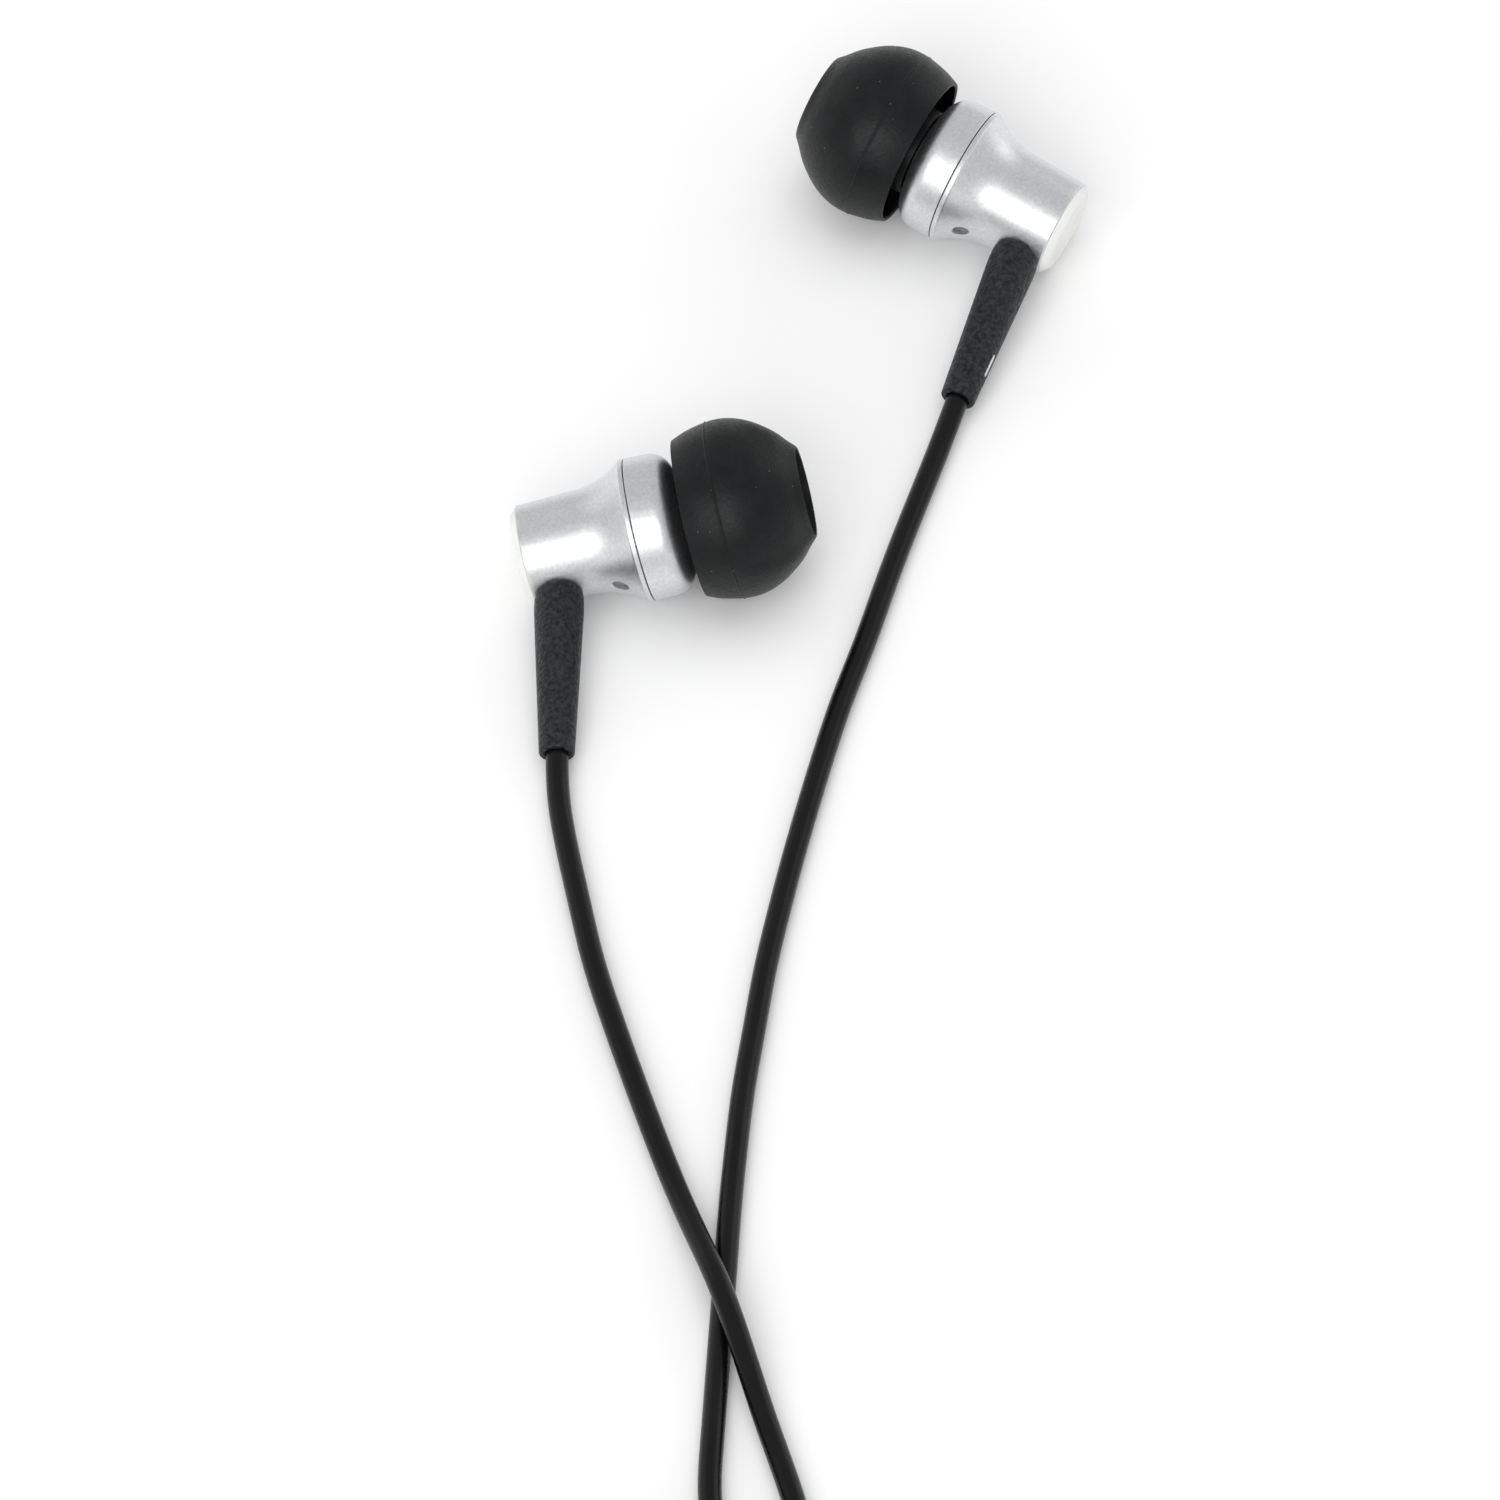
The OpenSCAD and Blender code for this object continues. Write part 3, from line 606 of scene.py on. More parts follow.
# earpieces: every size from here on is in millimetres in the earpiece's own frame
earSize = {
    "barrel": 3.57, "flareFrom": 3.72, "flareStart": 4.0, "flareEnd": 7.65, "flarePower": 2.2,
    "rim": 5.1, "rimEdge": 0.12, "seam": 8.1, "gap": 0.035, "wall": 0.55,
    "lap": 4.52,          # inside of the rim, where the front half's collar goes in
    "magnetMiddle": 7.5,  # the driver's magnet gives the earpiece's place
    "segments": 176,
}
ventShape = {
    "at": 6.1,            # from the end cap
    "cutter": [(0, -2), (0.58, -2), (0.58, -0.05), (0.66, 0.03), (0.9, 0.3), (0, 0.3)],
    "screenAt": -0.39,
    "segments": 48,
}
bootShape = {
    "base": 2.35, "lean": 99.0, "length": 16.3, "segments": 72,
    "sides": [(2.9, 1.62), (3.4, 1.67), (4.0, 1.72), (4.6, 1.75), (5.2, 1.745), (8.8, 1.59), (12.4, 1.425),
              (15.9, 1.265), (16.3, 1.25)],    # height and radius
    "foot": 3.5,          # height whose radius the foot on the barrel has
    "edge": 0.22,         # rounding of the foot
    "lift": 0.015,        # the foot stands this far off the metal
    "level": 5.4,         # from here on its rings are level
    "rounding": 0.16,     # of the far end
    "bore": 0.83, "neck": 1.3,
    "hole": [(0, 0.5), (1.32, 0.5), (1.32, 5), (0, 5)],    # cut in the barrel for the neck
}


def earPlace(side):
    # the earpiece's own frame: Z from the end cap to the tip, X towards the strain relief
    axis = Vector(next(j["axis"] for j in frame["joints"] if j["name"] == side + "_tip_slide")).normalized()
    magnet = middleOf(side + "_driver_magnet")
    across = middleOf(side + "_vent_screen") - magnet
    return axisPlace(magnet - axis * earSize["magnetMiddle"] * mm, axis, across)


def bootPlace():
    lean = Matrix.Rotation(math.radians(bootShape["lean"]), 4, "Y")
    return Matrix.Translation((0, 0, bootShape["base"])) @ lean


def barrelRadius(z):
    ear = earSize
    if z < ear["flareStart"]:
        return ear["barrel"] + (ear["flareFrom"] - ear["barrel"]) * z / ear["flareStart"]
    share = (z - ear["flareStart"]) / (ear["flareEnd"] - ear["flareStart"])
    return ear["flareFrom"] + (ear["rim"] - ear["rimEdge"] - ear["flareFrom"]) * share ** ear["flarePower"]


def backShell(side, place):
    # barrel, flare and rim in one, open at both ends, with the vent and the relief's hole cut in it
    ear = earSize
    flare = [ear["flareStart"] + (ear["flareEnd"] - ear["flareStart"]) * i / 30 for i in range(31)]
    body = [ear["flareStart"] * i / 12 for i in range(1, 12)]
    inside, end = ear["barrel"] - ear["wall"], ear["seam"] - ear["gap"]
    profile = softened(
        [(inside, 0, 0.05), (ear["barrel"], 0, 0.07)]
        + [(barrelRadius(z), z) for z in body + flare[:-1]]
        + [(ear["rim"] - ear["rimEdge"], ear["flareEnd"], 0.05), (ear["rim"], ear["flareEnd"] + 0.1, 0.04),
           (ear["rim"], end, 0.05), (ear["lap"], end, 0.03), (ear["lap"], ear["flareEnd"], 0.02)]
        + [(barrelRadius(z) - ear["wall"], z) for z in flare[-2::-1] + body[::-1]])
    shell = turned(side + "BackShell", profile, place, aluminium, ear["segments"])
    at = ventShape["at"]
    slope = math.atan((barrelRadius(at + 0.1) - barrelRadius(at - 0.1)) / 0.2)
    ventPlace = place @ Matrix.Translation((barrelRadius(at), 0, at)) @ Matrix.Rotation(
        math.pi / 2 + slope, 4, "Y")
    vent = turned("ventCut", ventShape["cutter"], ventPlace, aluminium, ventShape["segments"])
    neck = turned("neckCut", bootShape["hole"], place @ bootPlace(), aluminium, ventShape["segments"])
    cutWith(shell, [vent, neck])
    return shell, ventPlace


frontShape = {
    "ringLength": 1.65, "draft": 0.05,              # the ring narrows by this much
    "shoulder": (1.95, 1.6),                        # how far it goes inwards and forwards
    "collar": (4.27, 4.5, 0.42),                    # inner and outer radius, and how far it goes into the rim
    # nozzle with its groove, and the bore back to the driver
    "nozzle": [(2.65, 11.4, 0.12), (2.6, 11.6), (2.6, 13.4, 0.05), (2.4, 13.6, 0.05), (2.4, 15.6, 0.05),
               (2.6, 15.8, 0.05), (2.6, 16.8, 0.12), (2.16, 16.8, 0.04), (2.16, 16.4), (1.9, 16.4, 0.03),
               (1.9, 11), (3.65, 10.35), (4.27, 10.35)],
    "meshAt": 16.53,
}


def frontShell(side, place):
    rim, low = earSize["rim"], earSize["seam"] + earSize["gap"]
    front, draft = earSize["seam"] + frontShape["ringLength"], frontShape["draft"]
    inwards, forwards = frontShape["shoulder"]
    inner, outer, lap = frontShape["collar"]
    shoulder = [(rim - draft + inwards * (math.sin(a) - 1), front + forwards * math.cos(a))
                for a in [math.radians(90 - 4 * i) for i in range(22)]]
    ring = [(rim - draft * i / 8, low + (front - low) * i / 8) for i in range(1, 8)]
    profile = softened(
        [(inner, earSize["seam"] - lap), (outer, earSize["seam"] - lap), (outer, low), (rim, low, 0.05)]
        + ring + shoulder + frontShape["nozzle"])
    return turned(side + "FrontShell", profile, place, aluminium, earSize["segments"])


capShape = {
    # flat face, then its sloping edge down to the barrel's end
    "outline": [(0, -0.52), (2.95, -0.52, 0.12), (3.55, 0, 0.05), (3.0, 0.0), (3.0, 0.4), (0, 0.4)],
    "rings": [(0.0, -0.52), (1.0, -0.52), (2.0, -0.52)],    # across the flat face, so that it shades evenly
    "segments": 144,
}


def endCap(side, place):
    profile = capShape["rings"] + softened(capShape["outline"])[1:]
    return turned(side + "Cap", profile, place, capPlastic, capShape["segments"])


tipShape = {
    "outside": [(5.62, 11.78), (5.95, 12.6), (6.2, 13.6), (6.32, 14.3), (6.35, 15), (6.26, 15.8),
                (6.02, 16.6),
                (5.64, 17.4), (5.1, 18.2), (4.42, 19), (3.75, 19.6), (3.4, 19.95)],
    # mouth, sound bore, and the sleeve that grips the nozzle
    "bore": [(3.24, 20.1, 0.04), (3.13, 20.06, 0.04), (3.08, 18.6), (3.0, 17.5, 0.2), (2.68, 16.9, 0.2),
             (2.68, 14.5), (2.68, 11.5, 0.05), (3.22, 11.5, 0.1)],
    "inside": [(3.25, 11.8), (3.32, 14.5), (3.4, 16.6), (3.7, 17.4), (4.1, 17.6), (4.7, 17.2), (5.25, 16.4),
               (5.55, 15.4), (5.65, 14.4), (5.55, 13.2), (5.38, 12.2)],
    "skirtEdge": [(5.3, 11.7, 0.12), (5.6, 11.7, 0.14)],
    # the mould's parting line: a hair of flash with a fine groove beside it
    "flashAt": 14.25, "flash": 0.05, "grooveAt": 14.36, "groove": 0.02, "hair": 0.05,
    "fine": 0.04, "coarse": 0.16, "thin": 4,    # steps along the outlines, and how many are kept off the line
    "segments": 160,
}


def tipDome(side, place):
    tip, line = tipShape, []
    for i, (r, z) in enumerate(smoothLine(tip["outside"], tip["fine"])):
        flash, groove = (math.exp(-((z - tip[at]) / tip["hair"]) ** 2) for at in ("flashAt", "grooveAt"))
        if i % tip["thin"] == 0 or flash + groove > 0.001:
            line.append((r + tip["flash"] * flash - tip["groove"] * groove, z))
    inside = [tuple(p) for p in smoothLine(tip["inside"], tip["coarse"])]
    profile = softened(line + tip["bore"] + inside + tip["skirtEdge"])
    return turned(side + "Tip", profile, place, silicone, tip["segments"])


def bootRadius(h):
    heights, radii = zip(*bootShape["sides"])
    return float(np.interp(h, heights, radii))


def onBarrel(place, angle, radius):
    # how far along the boot's axis its side meets the barrel
    low, high = 1.5, 5.0
    for _ in range(40):
        h = (low + high) / 2
        p = place @ Vector((radius * math.cos(angle), radius * math.sin(angle), h))
        low, high = (low, h) if math.hypot(p.x, p.y) > barrelRadius(p.z) else (h, high)
    return h


def strainRelief(side, place):
    b, own = bootShape, bootPlace()
    count, edge, level, end, curve = b["segments"], b["edge"], b["level"], b["length"], b["rounding"]
    foot, last = bootRadius(b["foot"]) - edge, bootRadius(end - 0.1) - curve
    seats = [onBarrel(own, 2 * math.pi * k / count, foot) for k in range(count)]
    quarter = [math.pi / 2 * step / 5 for step in range(6)]
    rows = [[(b["neck"], h + 0.01) for h in seats]]    # each row is a list of (radius, height) round it
    for a in quarter:                                  # rounded edge that stands on the barrel
        rows.append([(foot + edge * math.sin(a), h + b["lift"] + edge * (1 - math.cos(a))) for h in seats])
    for share in (step / 7 for step in range(1, 8)):   # from the edge's slant to a level ring
        rows.append([(bootRadius(h + edge + (level - h - edge) * share),
                      h + b["lift"] + edge + (level - b["lift"] - h - edge) * share) for h in seats])
    for h in np.arange(level + 0.5, end - 0.35, 0.5):
        rows.append([(bootRadius(h), h)] * count)
    for a in quarter:                                  # rounded end with the lead's hole
        rows.append([(last + curve * math.cos(a), end - curve + curve * math.sin(a))] * count)
    bore, neck = b["bore"], b["neck"]
    for r, h in ((bore + 0.06, end), (bore + 0.02, end - 0.02), (bore, end - 0.08), (bore, 9), (bore, 2),
                 (neck + 0.2, 2), (neck + 0.2, 2.45), (neck, 2.45)):
        rows.append([(r, h)] * count)
    points, whole = [], place @ own
    for row in rows:
        for k, (r, h) in enumerate(row):
            a = 2 * math.pi * k / count
            points.append(whole @ Vector((r * math.cos(a), r * math.sin(a), h)))
    return newObject(side + "Relief", points, ringFaces(len(rows), count, True), boot)


def weaveTree():
    # woven wire disc in millimetres: two sets of waved wires, cut to a round
    tree = bpy.data.node_groups.new("wovenScreen", "GeometryNodeTree")
    face = tree.interface
    face.new_socket(name="Geometry", in_out="OUTPUT", socket_type="NodeSocketGeometry")
    for name, value in (("Pitch", 0.3), ("Wire radius", 0.07), ("Disc radius", 2.1)):
        face.new_socket(name=name, in_out="INPUT", socket_type="NodeSocketFloat").default_value = value
    face.new_socket(name="Wires", in_out="INPUT", socket_type="NodeSocketInt").default_value = 14
    face.new_socket(name="Material", in_out="INPUT", socket_type="NodeSocketMaterial")
    given = addNode(tree, "NodeGroupInput")
    oneLess = addNode(tree, "ShaderNodeMath", {"operation": "SUBTRACT", 1: 1.0}, {0: (given, "Wires")})
    spread = addNode(tree, "ShaderNodeMath", {"operation": "MULTIPLY"},
                     {0: (oneLess, 0), 1: (given, "Pitch")})
    first = addNode(tree, "ShaderNodeMath", {"operation": "MULTIPLY", 1: -0.5}, {0: (spread, 0)})
    start = addNode(tree, "ShaderNodeCombineXYZ", {}, {"X": (first, 0)})
    stride = addNode(tree, "ShaderNodeCombineXYZ", {}, {"X": (given, "Pitch")})
    row = addNode(tree, "GeometryNodeMeshLine", {"mode": "OFFSET"},
                  {"Count": (given, "Wires"), "Start Location": (start, 0), "Offset": (stride, 0)})
    last = addNode(tree, "ShaderNodeMath", {"operation": "MULTIPLY", 1: 0.5}, {0: (spread, 0)})
    lineStart = addNode(tree, "ShaderNodeCombineXYZ", {}, {"Y": (first, 0)})
    lineEnd = addNode(tree, "ShaderNodeCombineXYZ", {}, {"Y": (last, 0)})
    wire = addNode(tree, "GeometryNodeCurvePrimitiveLine", {}, {"Start": (lineStart, 0), "End": (lineEnd, 0)})
    bends = addNode(tree, "ShaderNodeMath", {"operation": "MULTIPLY_ADD", 1: 5.0, 2: 1.0}, {0: (oneLess, 0)})
    fine = addNode(tree, "GeometryNodeResampleCurve", {}, {"Curve": (wire, 0), "Count": (bends, 0)})
    copies = addNode(tree, "GeometryNodeInstanceOnPoints", {}, {"Points": (row, 0), "Instance": (fine, 0)})
    warp = addNode(tree, "GeometryNodeRealizeInstances", {}, {"Geometry": (copies, 0)})
    weft = addNode(tree, "GeometryNodeTransform", {"Rotation": (0, 0, math.pi / 2)}, {"Geometry": (warp, 0)})
    where = addNode(tree, "GeometryNodeInputPosition")
    axes = addNode(tree, "ShaderNodeSeparateXYZ", {}, {0: (where, 0)})
    both = addNode(tree, "ShaderNodeMath", {"operation": "ADD"}, {0: (axes, "X"), 1: (axes, "Y")})
    steps = addNode(tree, "ShaderNodeMath", {"operation": "DIVIDE"}, {0: (both, 0), 1: (given, "Pitch")})
    phase = addNode(tree, "ShaderNodeMath", {"operation": "MULTIPLY", 1: math.pi}, {0: (steps, 0)})
    wave = addNode(tree, "ShaderNodeMath", {"operation": "COSINE"}, {0: (phase, 0)})
    sets = []
    for lines, sign in ((warp, 1.02), (weft, -1.02)):
        lift = addNode(tree, "ShaderNodeMath", {"operation": "MULTIPLY"},
                       {0: (wave, 0), 1: (given, "Wire radius")})
        signed = addNode(tree, "ShaderNodeMath", {"operation": "MULTIPLY", 1: sign}, {0: (lift, 0)})
        offset = addNode(tree, "ShaderNodeCombineXYZ", {}, {"Z": (signed, 0)})
        sets.append(addNode(tree, "GeometryNodeSetPosition", {},
                            {"Geometry": (lines, 0), "Offset": (offset, 0)}))
    joined = addNode(tree, "GeometryNodeJoinGeometry")
    for one in sets:
        tree.links.new(one.outputs[0], joined.inputs[0])
    reach = addNode(tree, "ShaderNodeVectorMath", {"operation": "LENGTH"}, {0: (where, 0)})
    outside = addNode(tree, "ShaderNodeMath", {"operation": "GREATER_THAN"},
                      {0: (reach, "Value"), 1: (given, "Disc radius")})
    trimmed = addNode(tree, "GeometryNodeDeleteGeometry", {"domain": "POINT"},
                      {"Geometry": (joined, 0), "Selection": (outside, 0)})
    section = addNode(tree, "GeometryNodeCurvePrimitiveCircle", {"Resolution": 6},
                      {"Radius": (given, "Wire radius")})
    solid = addNode(tree, "GeometryNodeCurveToMesh", {"Fill Caps": True},
                    {"Curve": (trimmed, 0), "Profile Curve": (section, 0)})
    real = addNode(tree, "GeometryNodeRealizeInstances", {}, {"Geometry": (solid, 0)})
    dressed = addNode(tree, "GeometryNodeSetMaterial", {},
                      {"Geometry": (real, 0), "Material": (given, "Material")})
    addNode(tree, "NodeGroupOutput", {}, {0: (dressed, 0)})
    return tree


def ribTree():
    # rings along Z in millimetres, each a little smaller or larger than the last
    tree = bpy.data.node_groups.new("ringRibs", "GeometryNodeTree")
    face = tree.interface
    face.new_socket(name="Geometry", in_out="OUTPUT", socket_type="NodeSocketGeometry")
    face.new_socket(name="Count", in_out="INPUT", socket_type="NodeSocketInt").default_value = 6
    for name, value in (("Pitch", 1.0), ("Radius", 2.8), ("Growth", 0.0), ("Thickness", 0.2)):
        face.new_socket(name=name, in_out="INPUT", socket_type="NodeSocketFloat").default_value = value
    face.new_socket(name="Material", in_out="INPUT", socket_type="NodeSocketMaterial")
    given = addNode(tree, "NodeGroupInput")
    stride = addNode(tree, "ShaderNodeCombineXYZ", {}, {"Z": (given, "Pitch")})
    row = addNode(tree, "GeometryNodeMeshLine", {"mode": "OFFSET"}, {"Count": (given, "Count"),
                                                                    "Offset": (stride, 0)})
    ring = addNode(tree, "GeometryNodeCurvePrimitiveCircle", {"Resolution": 72},
                   {"Radius": (given, "Radius")})
    section = addNode(tree, "GeometryNodeCurvePrimitiveCircle", {"Resolution": 12},
                      {"Radius": (given, "Thickness")})
    solid = addNode(tree, "GeometryNodeCurveToMesh", {}, {"Curve": (ring, 0), "Profile Curve": (section, 0)})
    number = addNode(tree, "GeometryNodeInputIndex")
    growth = addNode(tree, "ShaderNodeMath", {"operation": "MULTIPLY_ADD", 2: 1.0},
                     {0: (number, 0), 1: (given, "Growth")})
    size = addNode(tree, "ShaderNodeCombineXYZ", {"Z": 1.0}, {"X": (growth, 0), "Y": (growth, 0)})
    copies = addNode(tree, "GeometryNodeInstanceOnPoints", {},
                     {"Points": (row, 0), "Instance": (solid, 0), "Scale": (size, 0)})
    real = addNode(tree, "GeometryNodeRealizeInstances", {}, {"Geometry": (copies, 0)})
    smooth = addNode(tree, "GeometryNodeSetShadeSmooth", {}, {"Geometry": (real, 0)})
    dressed = addNode(tree, "GeometryNodeSetMaterial", {},
                      {"Geometry": (smooth, 0), "Material": (given, "Material")})
    addNode(tree, "NodeGroupOutput", {}, {0: (dressed, 0)})
    return tree


def grown(name, tree, values, place):
    # a piece made by a node tree, with its inputs set by identifier, then turned into a plain mesh
    thing = bpy.data.objects.new(name, bpy.data.meshes.new(name))
    bpy.context.scene.collection.objects.link(thing)
    step = thing.modifiers.new("shape", "NODES")
    step.node_group = tree
    for item in tree.interface.items_tree:
        if item.in_out == "INPUT" and item.name in values:
            step[item.identifier] = values[item.name]
    applied(thing)
    thing.data.transform(place)
    thing.data.polygons.foreach_set("use_smooth", [True] * len(thing.data.polygons))
    thing.data.update()
    return thing


screenTree, ringTree = weaveTree(), ribTree()
nozzleScreen = {"Pitch": 0.27, "Wire radius": 0.055, "Disc radius": 2.08, "Wires": 16}
ventScreen = {"Pitch": 0.14, "Wire radius": 0.03, "Disc radius": 0.56, "Wires": 9}

for side in ("left", "right"):
    place = earPlace(side)
    shell, ventPlace = backShell(side, place)
    settle(shell, "earphones", "silver_shell", side + "_rear_housing")
    settle(frontShell(side, place), "earphones", "silver_shell", side + "_front_housing")
    settle(endCap(side, place), "earphones", "cap_plastic", side + "_end_cap")
    settle(tipDome(side, place), side + "_tip", "silicone", side + "_ear_tip")
    settle(strainRelief(side, place), "earphones", "relief_rubber", side + "_strain_relief")
    mesh = grown(side + "Mesh", screenTree, {**nozzleScreen, "Material": steelWire},
                 place @ Matrix.Translation((0, 0, frontShape["meshAt"])))
    settle(mesh, "earphones", "steel_mesh", side + "_nozzle_mesh")
    vent = grown(side + "VentMesh", screenTree, {**ventScreen, "Material": steelWire},
                 ventPlace @ Matrix.Translation((0, 0, ventShape["screenAt"])))
    settle(vent, "earphones", "steel_mesh", side + "_vent_screen")
    print(side, "earpiece made")

# printed bar on the side of the right relief
markShape = {"from": 12.2, "to": 14.1, "angle": 24.0, "width": 0.24, "thick": 0.02, "sunk": 0.004,
             "rows": 14, "across": 7}


def sideMark(place):
    m, whole = markShape, place @ bootPlace()
    rows, across = np.linspace(m["from"], m["to"], m["rows"]), m["across"]
    points, faces = [], []
    for layer in (0.0, m["thick"]):
        for i, h in enumerate(rows):
            end = min(h - m["from"], m["to"] - h) / (m["width"] / 2)
            half = m["width"] / 2 * (math.sqrt(max(1 - (1 - end) ** 2, 0.0)) if end < 1 else 1)
            for k in range(across):
                r = bootRadius(h) + layer - m["sunk"]
                a = math.radians(m["angle"]) + max(half, 0.02) * (2 * k / (across - 1) - 1) / r
                points.append(whole @ Vector((r * math.cos(a), r * math.sin(a), h)))
    size = len(rows) * across
    for i in range(len(rows) - 1):
        for k in range(across - 1):
            a, b = i * across + k, (i + 1) * across + k
            faces.append((size + a, size + a + 1, size + b + 1, size + b))
            faces.append((a, b, b + 1, a + 1))
    border = ([k for k in range(across)] + [i * across + across - 1 for i in range(1, len(rows))]
              + [size - 1 - k for k in range(1, across)] + [i * across for i in range(len(rows) - 2, 0, -1)])
    for a, b in zip(border, border[1:] + border[:1]):
        faces.append((a, b, size + b, size + a))
    return newObject("rightMark", points, faces, markInk)


settle(sideMark(earPlace("right")), "earphones", "cap_plastic")


splitterShape = {
    # stations along the lead: distance from the top end, half width, half height, in mm
    "stations": [(0.0, 2.45, 1.45), (0.06, 2.56, 1.56), (0.25, 2.62, 1.62), (0.9, 2.72, 1.72),
                 (1.8, 2.9, 1.9),
                 (3.0, 2.95, 1.95), (4.4, 2.9, 1.95), (6.0, 2.62, 1.95), (7.6, 2.25, 1.93), (8.8, 2.0, 1.9),
                 (9.5, 1.93, 1.88), (9.8, 1.86, 1.84), (9.95, 1.76, 1.76), (10.0, 1.62, 1.62)],
    "fuller": 0.9, "fullTo": 8,            # how much squarer the wide end is, and where that ends
    "groove": 0.05, "grooveWidth": 0.07,   # the mould's parting line
    "segments": 64,
    "inlets": {"splitterInLeft": -0.00065, "splitterInRight": -0.00255},    # x of the leads, in metres
    "collar": [(0.83, -0.3), (1.12, -0.3), (1.12, 0.25, 0.1), (0.83, 0.25, 0.04)],
    "reliefStart": [(1.03, -0.2), (1.6, -0.2), (1.6, 0.15, 0.08)],
    "reliefGrooves": 3,
    "reliefEnd": [(1.24, 1.95, 0.06), (1.03, 2.0, 0.03)],
}


def splitterBody():
    low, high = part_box("splitter")
    top = Vector(((low.x + high.x) / 2, high.y, (low.z + high.z) / 2))
    stations = np.array(splitterShape["stations"])
    fine = np.concatenate([stations[:3, 0], np.linspace(0.35, 9.4, 24), stations[-4:, 0]])
    wide, tall = (np.interp(fine, stations[:, 0], stations[:, i]) for i in (1, 2))
    for _ in range(2):            # even out the stations' straight runs, but not the ends' edges
        for line in (wide, tall):
            line[4:-5] = (line[3:-6] + 2 * line[4:-5] + line[5:-4]) / 4
    shape, count, points = splitterShape, splitterShape["segments"], []
    for y, w, h in zip(fine, wide, tall):
        square = 2 + shape["fuller"] * (1 - min(y / shape["fullTo"], 1))
        for k in range(count):
            a = 2 * math.pi * k / count
            c, s = math.cos(a), math.sin(a)
            x = w * math.copysign(abs(c) ** (2 / square), c)
            z = h * math.copysign(abs(s) ** (2 / square), s)
            groove = shape["groove"] * math.exp(-(z / shape["grooveWidth"]) ** 2) if abs(c) > 0.5 else 0
            points.append(top + Vector((x - math.copysign(groove, c), -y, z)) * mm)
    rings = len(fine)
    faces = ringFaces(rings, count)
    for ring, depth in ((0, fine[0]), (rings - 1, fine[-1])):     # closed ends, with a fan to the middle
        points.append(top + Vector((0, -depth, 0)) * mm)
        for k in range(count):
            faces.append((ring * count + k, ring * count + (k + 1) % count, len(points) - 1))
    return newObject("splitterBody", points, faces, overmould)


def makeSplitter():
    low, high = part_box("splitter")
    middle = (low + high) / 2
    body = settle(splitterBody(), "earphones", "moulded_black", "splitter")
    collars = []
    for name, x in splitterShape["inlets"].items():
        start = Vector((x, high.y, middle.z))
        piece = turned(name, softened(splitterShape["collar"]), axisPlace(start, (0, 1, 0)), overmould, 48)
        collars.append(settle(piece, "earphones", "moulded_black"))
    low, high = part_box("splitter_relief")
    start = Vector((middle.x, high.y, middle.z))
    ring = list(splitterShape["reliefStart"])
    for i in range(splitterShape["reliefGrooves"]):       # grooves round the relief
        z, r = 0.35 + 0.55 * i, 1.52 - 0.11 * i
        ring += [(r - 0.2, z - 0.06, 0.04), (r - 0.2, z + 0.08, 0.04), (r, z + 0.14, 0.05),
                 (r - 0.04, z + 0.4, 0.05)]
    ring += splitterShape["reliefEnd"]
    relief = turned("splitterOut", softened(ring, 3), axisPlace(start, (0, -1, 0)), overmould, 64)
    settle(relief, "earphones", "moulded_black", "splitter_relief")
    return [body, relief] + collars


plugShape = {
    # sizes in mm from the collar's front face, along the contacts
    "grip": [(0, -15), (2.05, -15, 0.12), (2.35, -14.65, 0.15), (2.86, -12.2, 0.6), (2.9, -10.4),
             (2.72, -8.6),
             (2.72, -4.6), (2.9, -2.9, 0.4), (2.9, -1.45, 0.15), (2.55, -1.02, 0.1), (1.5, -1.02), (1.5, -2),
             (0, -2)],
    "ribsAt": -8.45,
    "ribs": {"Count": 7, "Pitch": 0.62, "Radius": 2.62, "Growth": 0.0, "Thickness": 0.2},
    "reliefStart": [(1.03, -14.9), (2.0, -14.9)],
    "reliefGrooves": 7,
    "reliefEnd": [(1.25, -22.9, 0.05), (1.22, -23.2, 0.1), (1.03, -23.25, 0.03)],
    "segments": 96,
    # piece: finish, slot, CAD node if it has one, outline
    "contacts": {
        "plugCollar": (goldContact, "contact_gold", "plug_collar",
                       [(1.45, -1), (2.3, -1), (2.3, -0.05, 0.12), (1.75, 0, 0.03), (1.45, 0)]),
        "plugSleeve": (goldContact, "contact_gold", "plug_sleeve",
                       [(1.2, -4), (1.44, -4), (1.44, 0.01), (1.75, 0.01), (1.75, 6.39, 0.05), (1.2, 6.39)]),
        "plugRing": (goldContact, "contact_gold", "plug_ring",
                     [(0.8, -4), (1.04, -4), (1.04, 7.11), (1.75, 7.11, 0.05), (1.75, 9.29, 0.05),
                      (0.8, 9.29)]),
        "plugTip": (goldContact, "contact_gold", "plug_tip",
                    [(0, -4), (0.64, -4), (0.64, 10.01), (1.75, 10.01, 0.05), (1.75, 10.5, 0.2),
                     (1.5, 10.9, 0.3),
                     (1.16, 11.4, 0.25), (1.2, 11.75, 0.3), (1.6, 12.35, 0.3), (1.62, 12.65, 0.3),
                     (1.3, 13.2, 0.5), (0.62, 13.85, 0.3), (0.3, 14, 0.1), (0, 14)]),
        "plugInsulatorBack": (nylonRing, "insulator", "plug_insulators",
                              [(1.05, 6.4), (1.73, 6.4, 0.02), (1.73, 7.1, 0.02), (1.05, 7.1)]),
        "plugInsulatorFront": (nylonRing, "insulator", None,
                               [(0.65, 9.3), (1.73, 9.3, 0.02), (1.73, 10, 0.02), (0.65, 10)]),
    },
}


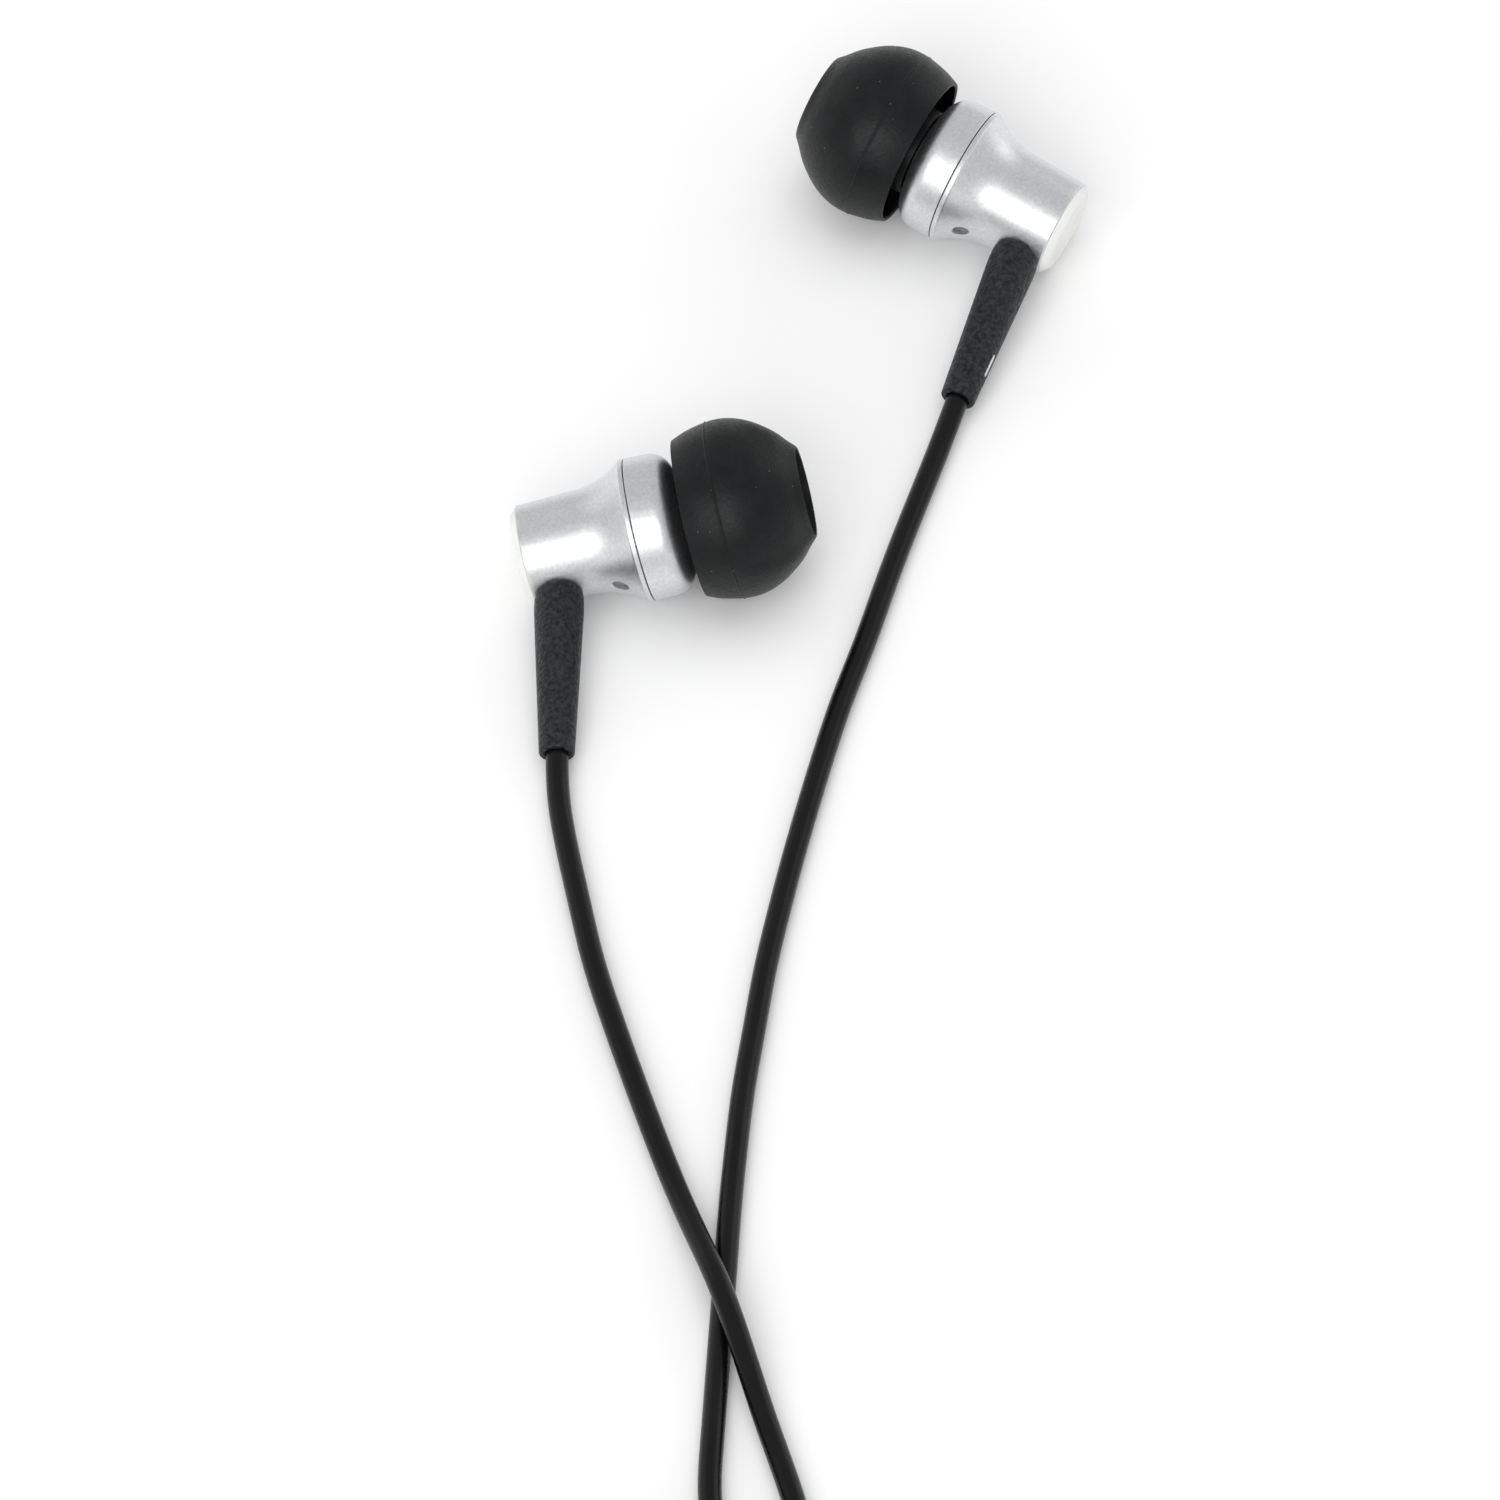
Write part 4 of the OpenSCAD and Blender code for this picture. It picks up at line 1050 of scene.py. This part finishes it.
def makePlug():
    low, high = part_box("plug_tip")
    shoulder = Vector(((low.x + high.x) / 2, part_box("plug_collar")[0].y, (low.z + high.z) / 2))
    place = axisPlace(shoulder, (0, -1, 0))
    pieces, plug = [], plugShape
    grip = turned("plugGrip", softened(plug["grip"], 6), place, overmould, plug["segments"])
    pieces.append(settle(grip, "earphones", "moulded_black", "plug_grip"))
    ribs = grown("plugRibs", ringTree, {**plug["ribs"], "Material": overmould},
                 place @ Matrix.Translation((0, 0, plug["ribsAt"])))
    pieces.append(settle(ribs, "earphones", "moulded_black"))
    relief = list(plug["reliefStart"])
    for i in range(plug["reliefGrooves"]):                # grooves round the relief
        z, r = -15.5 - 1.05 * i, 1.95 - 0.095 * i
        relief += [(r, z + 0.45, 0.06), (r - 0.02, z, 0.06), (r - 0.28, z - 0.06, 0.05),
                   (r - 0.28, z - 0.42, 0.05)]
    relief = turned("plugRelief", softened(relief + plug["reliefEnd"], 3), place, overmould, 64)
    pieces.append(settle(relief, "earphones", "moulded_black", "plug_relief"))
    for name, (material, slot, node, outline) in plug["contacts"].items():
        piece = turned(name, softened(outline), place, material, plug["segments"])
        pieces.append(settle(piece, "earphones", slot, *([node] if node else [])))
    return pieces


tieShape = {
    "lead": {"node": "lead_tie", "middle": leads["coilMiddle"], "inner": 6.1, "outer": 11.9, "low": 0.4,
             "high": 6.55, "width": 4.0, "thick": 0.38},
    "main": {"node": "main_tie", "middle": mainLead["coilMiddle"], "inner": 7.5, "outer": 14.8, "low": 0.4,
             "high": 7.8, "width": 5.0, "thick": 0.38},
}


def makeTie(name, t):
    # flat band once round the turns, its end lapped over its start and held down
    corner, lap = 1.1, 5.0
    low, high = Vector((-t["outer"], t["low"])), Vector((-t["inner"], t["high"]))
    loop = []
    for cx, cz, from_ in ((high.x - corner, high.y - corner, 0), (low.x + corner, high.y - corner, 90),
                          (low.x + corner, low.y + corner, 180), (high.x - corner, low.y + corner, 270)):
        for s in range(9):
            a = math.radians(from_ + 90 * s / 8)
            loop.append((cx + corner * math.cos(a), cz + corner * math.sin(a)))
    size = np.concatenate([[0], np.cumsum([math.dist(a, b) for a, b in zip(loop, loop[1:] + loop[:1])])])
    closed = loop + loop[:1]
    runs = np.arange(0, size[-1] + lap, 0.25)
    centre = []
    for s in runs:
        k = s % size[-1]
        x, z = (np.interp(k, size, [p[i] for p in closed]) for i in (0, 1))
        ahead = (np.interp((k + 0.05) % size[-1], size, [p[0] for p in closed]) - x,
                 np.interp((k + 0.05) % size[-1], size, [p[1] for p in closed]) - z)
        length = math.hypot(*ahead) or 1
        out = (ahead[1] / length, -ahead[0] / length)
        rise = t["thick"] / 2 + t["thick"] * 1.02 * min(max((s - size[-1] + 1.2) / 1.4, 0), 1)
        centre.append((x + out[0] * rise, z + out[1] * rise, out))
    half, thick, edge = t["width"] / 2, t["thick"] / 2, 0.12
    section = [(math.copysign(half - edge, a) + edge * math.cos(math.radians(g)),
                math.copysign(thick - edge, b) + edge * math.sin(math.radians(g)))
               for a, b, first in ((1, 1, 0), (-1, 1, 90), (-1, -1, 180), (1, -1, 270))
               for g in range(first, first + 91, 30)]
    points, count = [], len(section)
    for i, (x, z, out) in enumerate(centre):
        left = min(len(centre) - 1 - i, 8) * 0.25
        narrow = math.sqrt(max(1 - (1 - left / 2.0) ** 2, 0)) if left < 2.0 else 1    # rounded end
        for across, up in section:
            points.append(Vector((t["middle"][0], t["middle"][1], 0)) + Vector(
                (x + out[0] * up, across * max(narrow, 0.15), z + out[1] * up)) * mm)
    faces = ringFaces(len(centre), count)
    faces.append([k for k in range(count)][::-1])
    faces.append([(len(centre) - 1) * count + k for k in range(count)])
    band = newObject(name + "Tie", points, faces, bandRubber)
    return settle(band, "earphones", "tie_rubber", t["node"])


splitterPieces, plugPieces = makeSplitter(), makePlug()
leadTie, mainTie = makeTie("lead", tieShape["lead"]), makeTie("main", tieShape["main"])
print("splitter, plug and ties made")


# the parts inside keep their CAD shape and get a finish
innerFinish = {
    "driver_cover": zincPlate, "diaphragm": film, "voice_coil": copperCoil, "driver_frame": filledNylon,
    "driver_top_plate": zincPlate, "driver_magnet": nickelPlate, "driver_yoke": zincPlate,
    "driver_damper": felt, "terminal_board": board, "inner_wires": wireEnamel, "lead_anchor": leadJacket,
}
for side in ("left", "right"):
    for part, material in innerFinish.items():
        node = frame["nodes"][side + "_" + part]
        node.data.materials.clear()
        node.data.materials.append(material)
print("inner parts dressed")


# table and light
studio = {
    "floorSize": 6.0,
    "world": ("#FFFFFF", 0.62),
    # name: place, width, height, power, and whether glossy surfaces mirror it
    "lights": {
        "frontSoftbox": ((-0.3, -0.88, 0.77), 1.0, 0.8, 6.6, True),
        "topSoftbox": ((0.0, 0.1, 1.3), 1.2, 1.2, 5.0, False),
        "leftStrip": ((-0.9, 0.7, 0.45), 0.6, 0.8, 0.6, True),
        "rightStrip": ((0.9, 0.7, 0.45), 0.5, 0.8, 1.1, True),
    },
}


def makeStudio():
    # painted table: white, matt, with the least texture that still reads as a surface
    material, tree, shader, place = newMaterial("white painted board", {"Roughness": 0.9})
    colour, _ = mottled(tree, place, 0.05, "#F4F4F4", "#F8F8F8")
    tree.links.new(colour.outputs[2], shader.inputs["Base Color"])
    half = studio["floorSize"] / 2
    mesh = bpy.data.meshes.new("table")
    mesh.from_pydata([(-half, -half, 0), (half, -half, 0), (half, half, 0), (-half, half, 0)], [],
                     [(0, 1, 2, 3)])
    mesh.materials.append(material)
    floor = bpy.data.objects.new("table", mesh)
    bpy.context.scene.collection.objects.link(floor)
    world = bpy.data.worlds.new("studio")
    world.use_nodes = True
    bpy.context.scene.world = world
    sky = world.node_tree.nodes["Background"]
    sky.inputs["Color"].default_value = linear(studio["world"][0])
    sky.inputs["Strength"].default_value = studio["world"][1]
    for name, (spot, wide, tall, power, mirrored) in studio["lights"].items():
        lamp = bpy.data.lights.new(name, "AREA")
        lamp.shape, lamp.size, lamp.size_y, lamp.energy = "RECTANGLE", wide, tall, power
        thing = bpy.data.objects.new(name, lamp)
        thing.location = spot
        thing.rotation_euler = (-Vector(spot)).to_track_quat("-Z", "Y").to_euler()
        thing.visible_glossy = mirrored
        bpy.context.scene.collection.objects.link(thing)


makeStudio()
print("studio made")
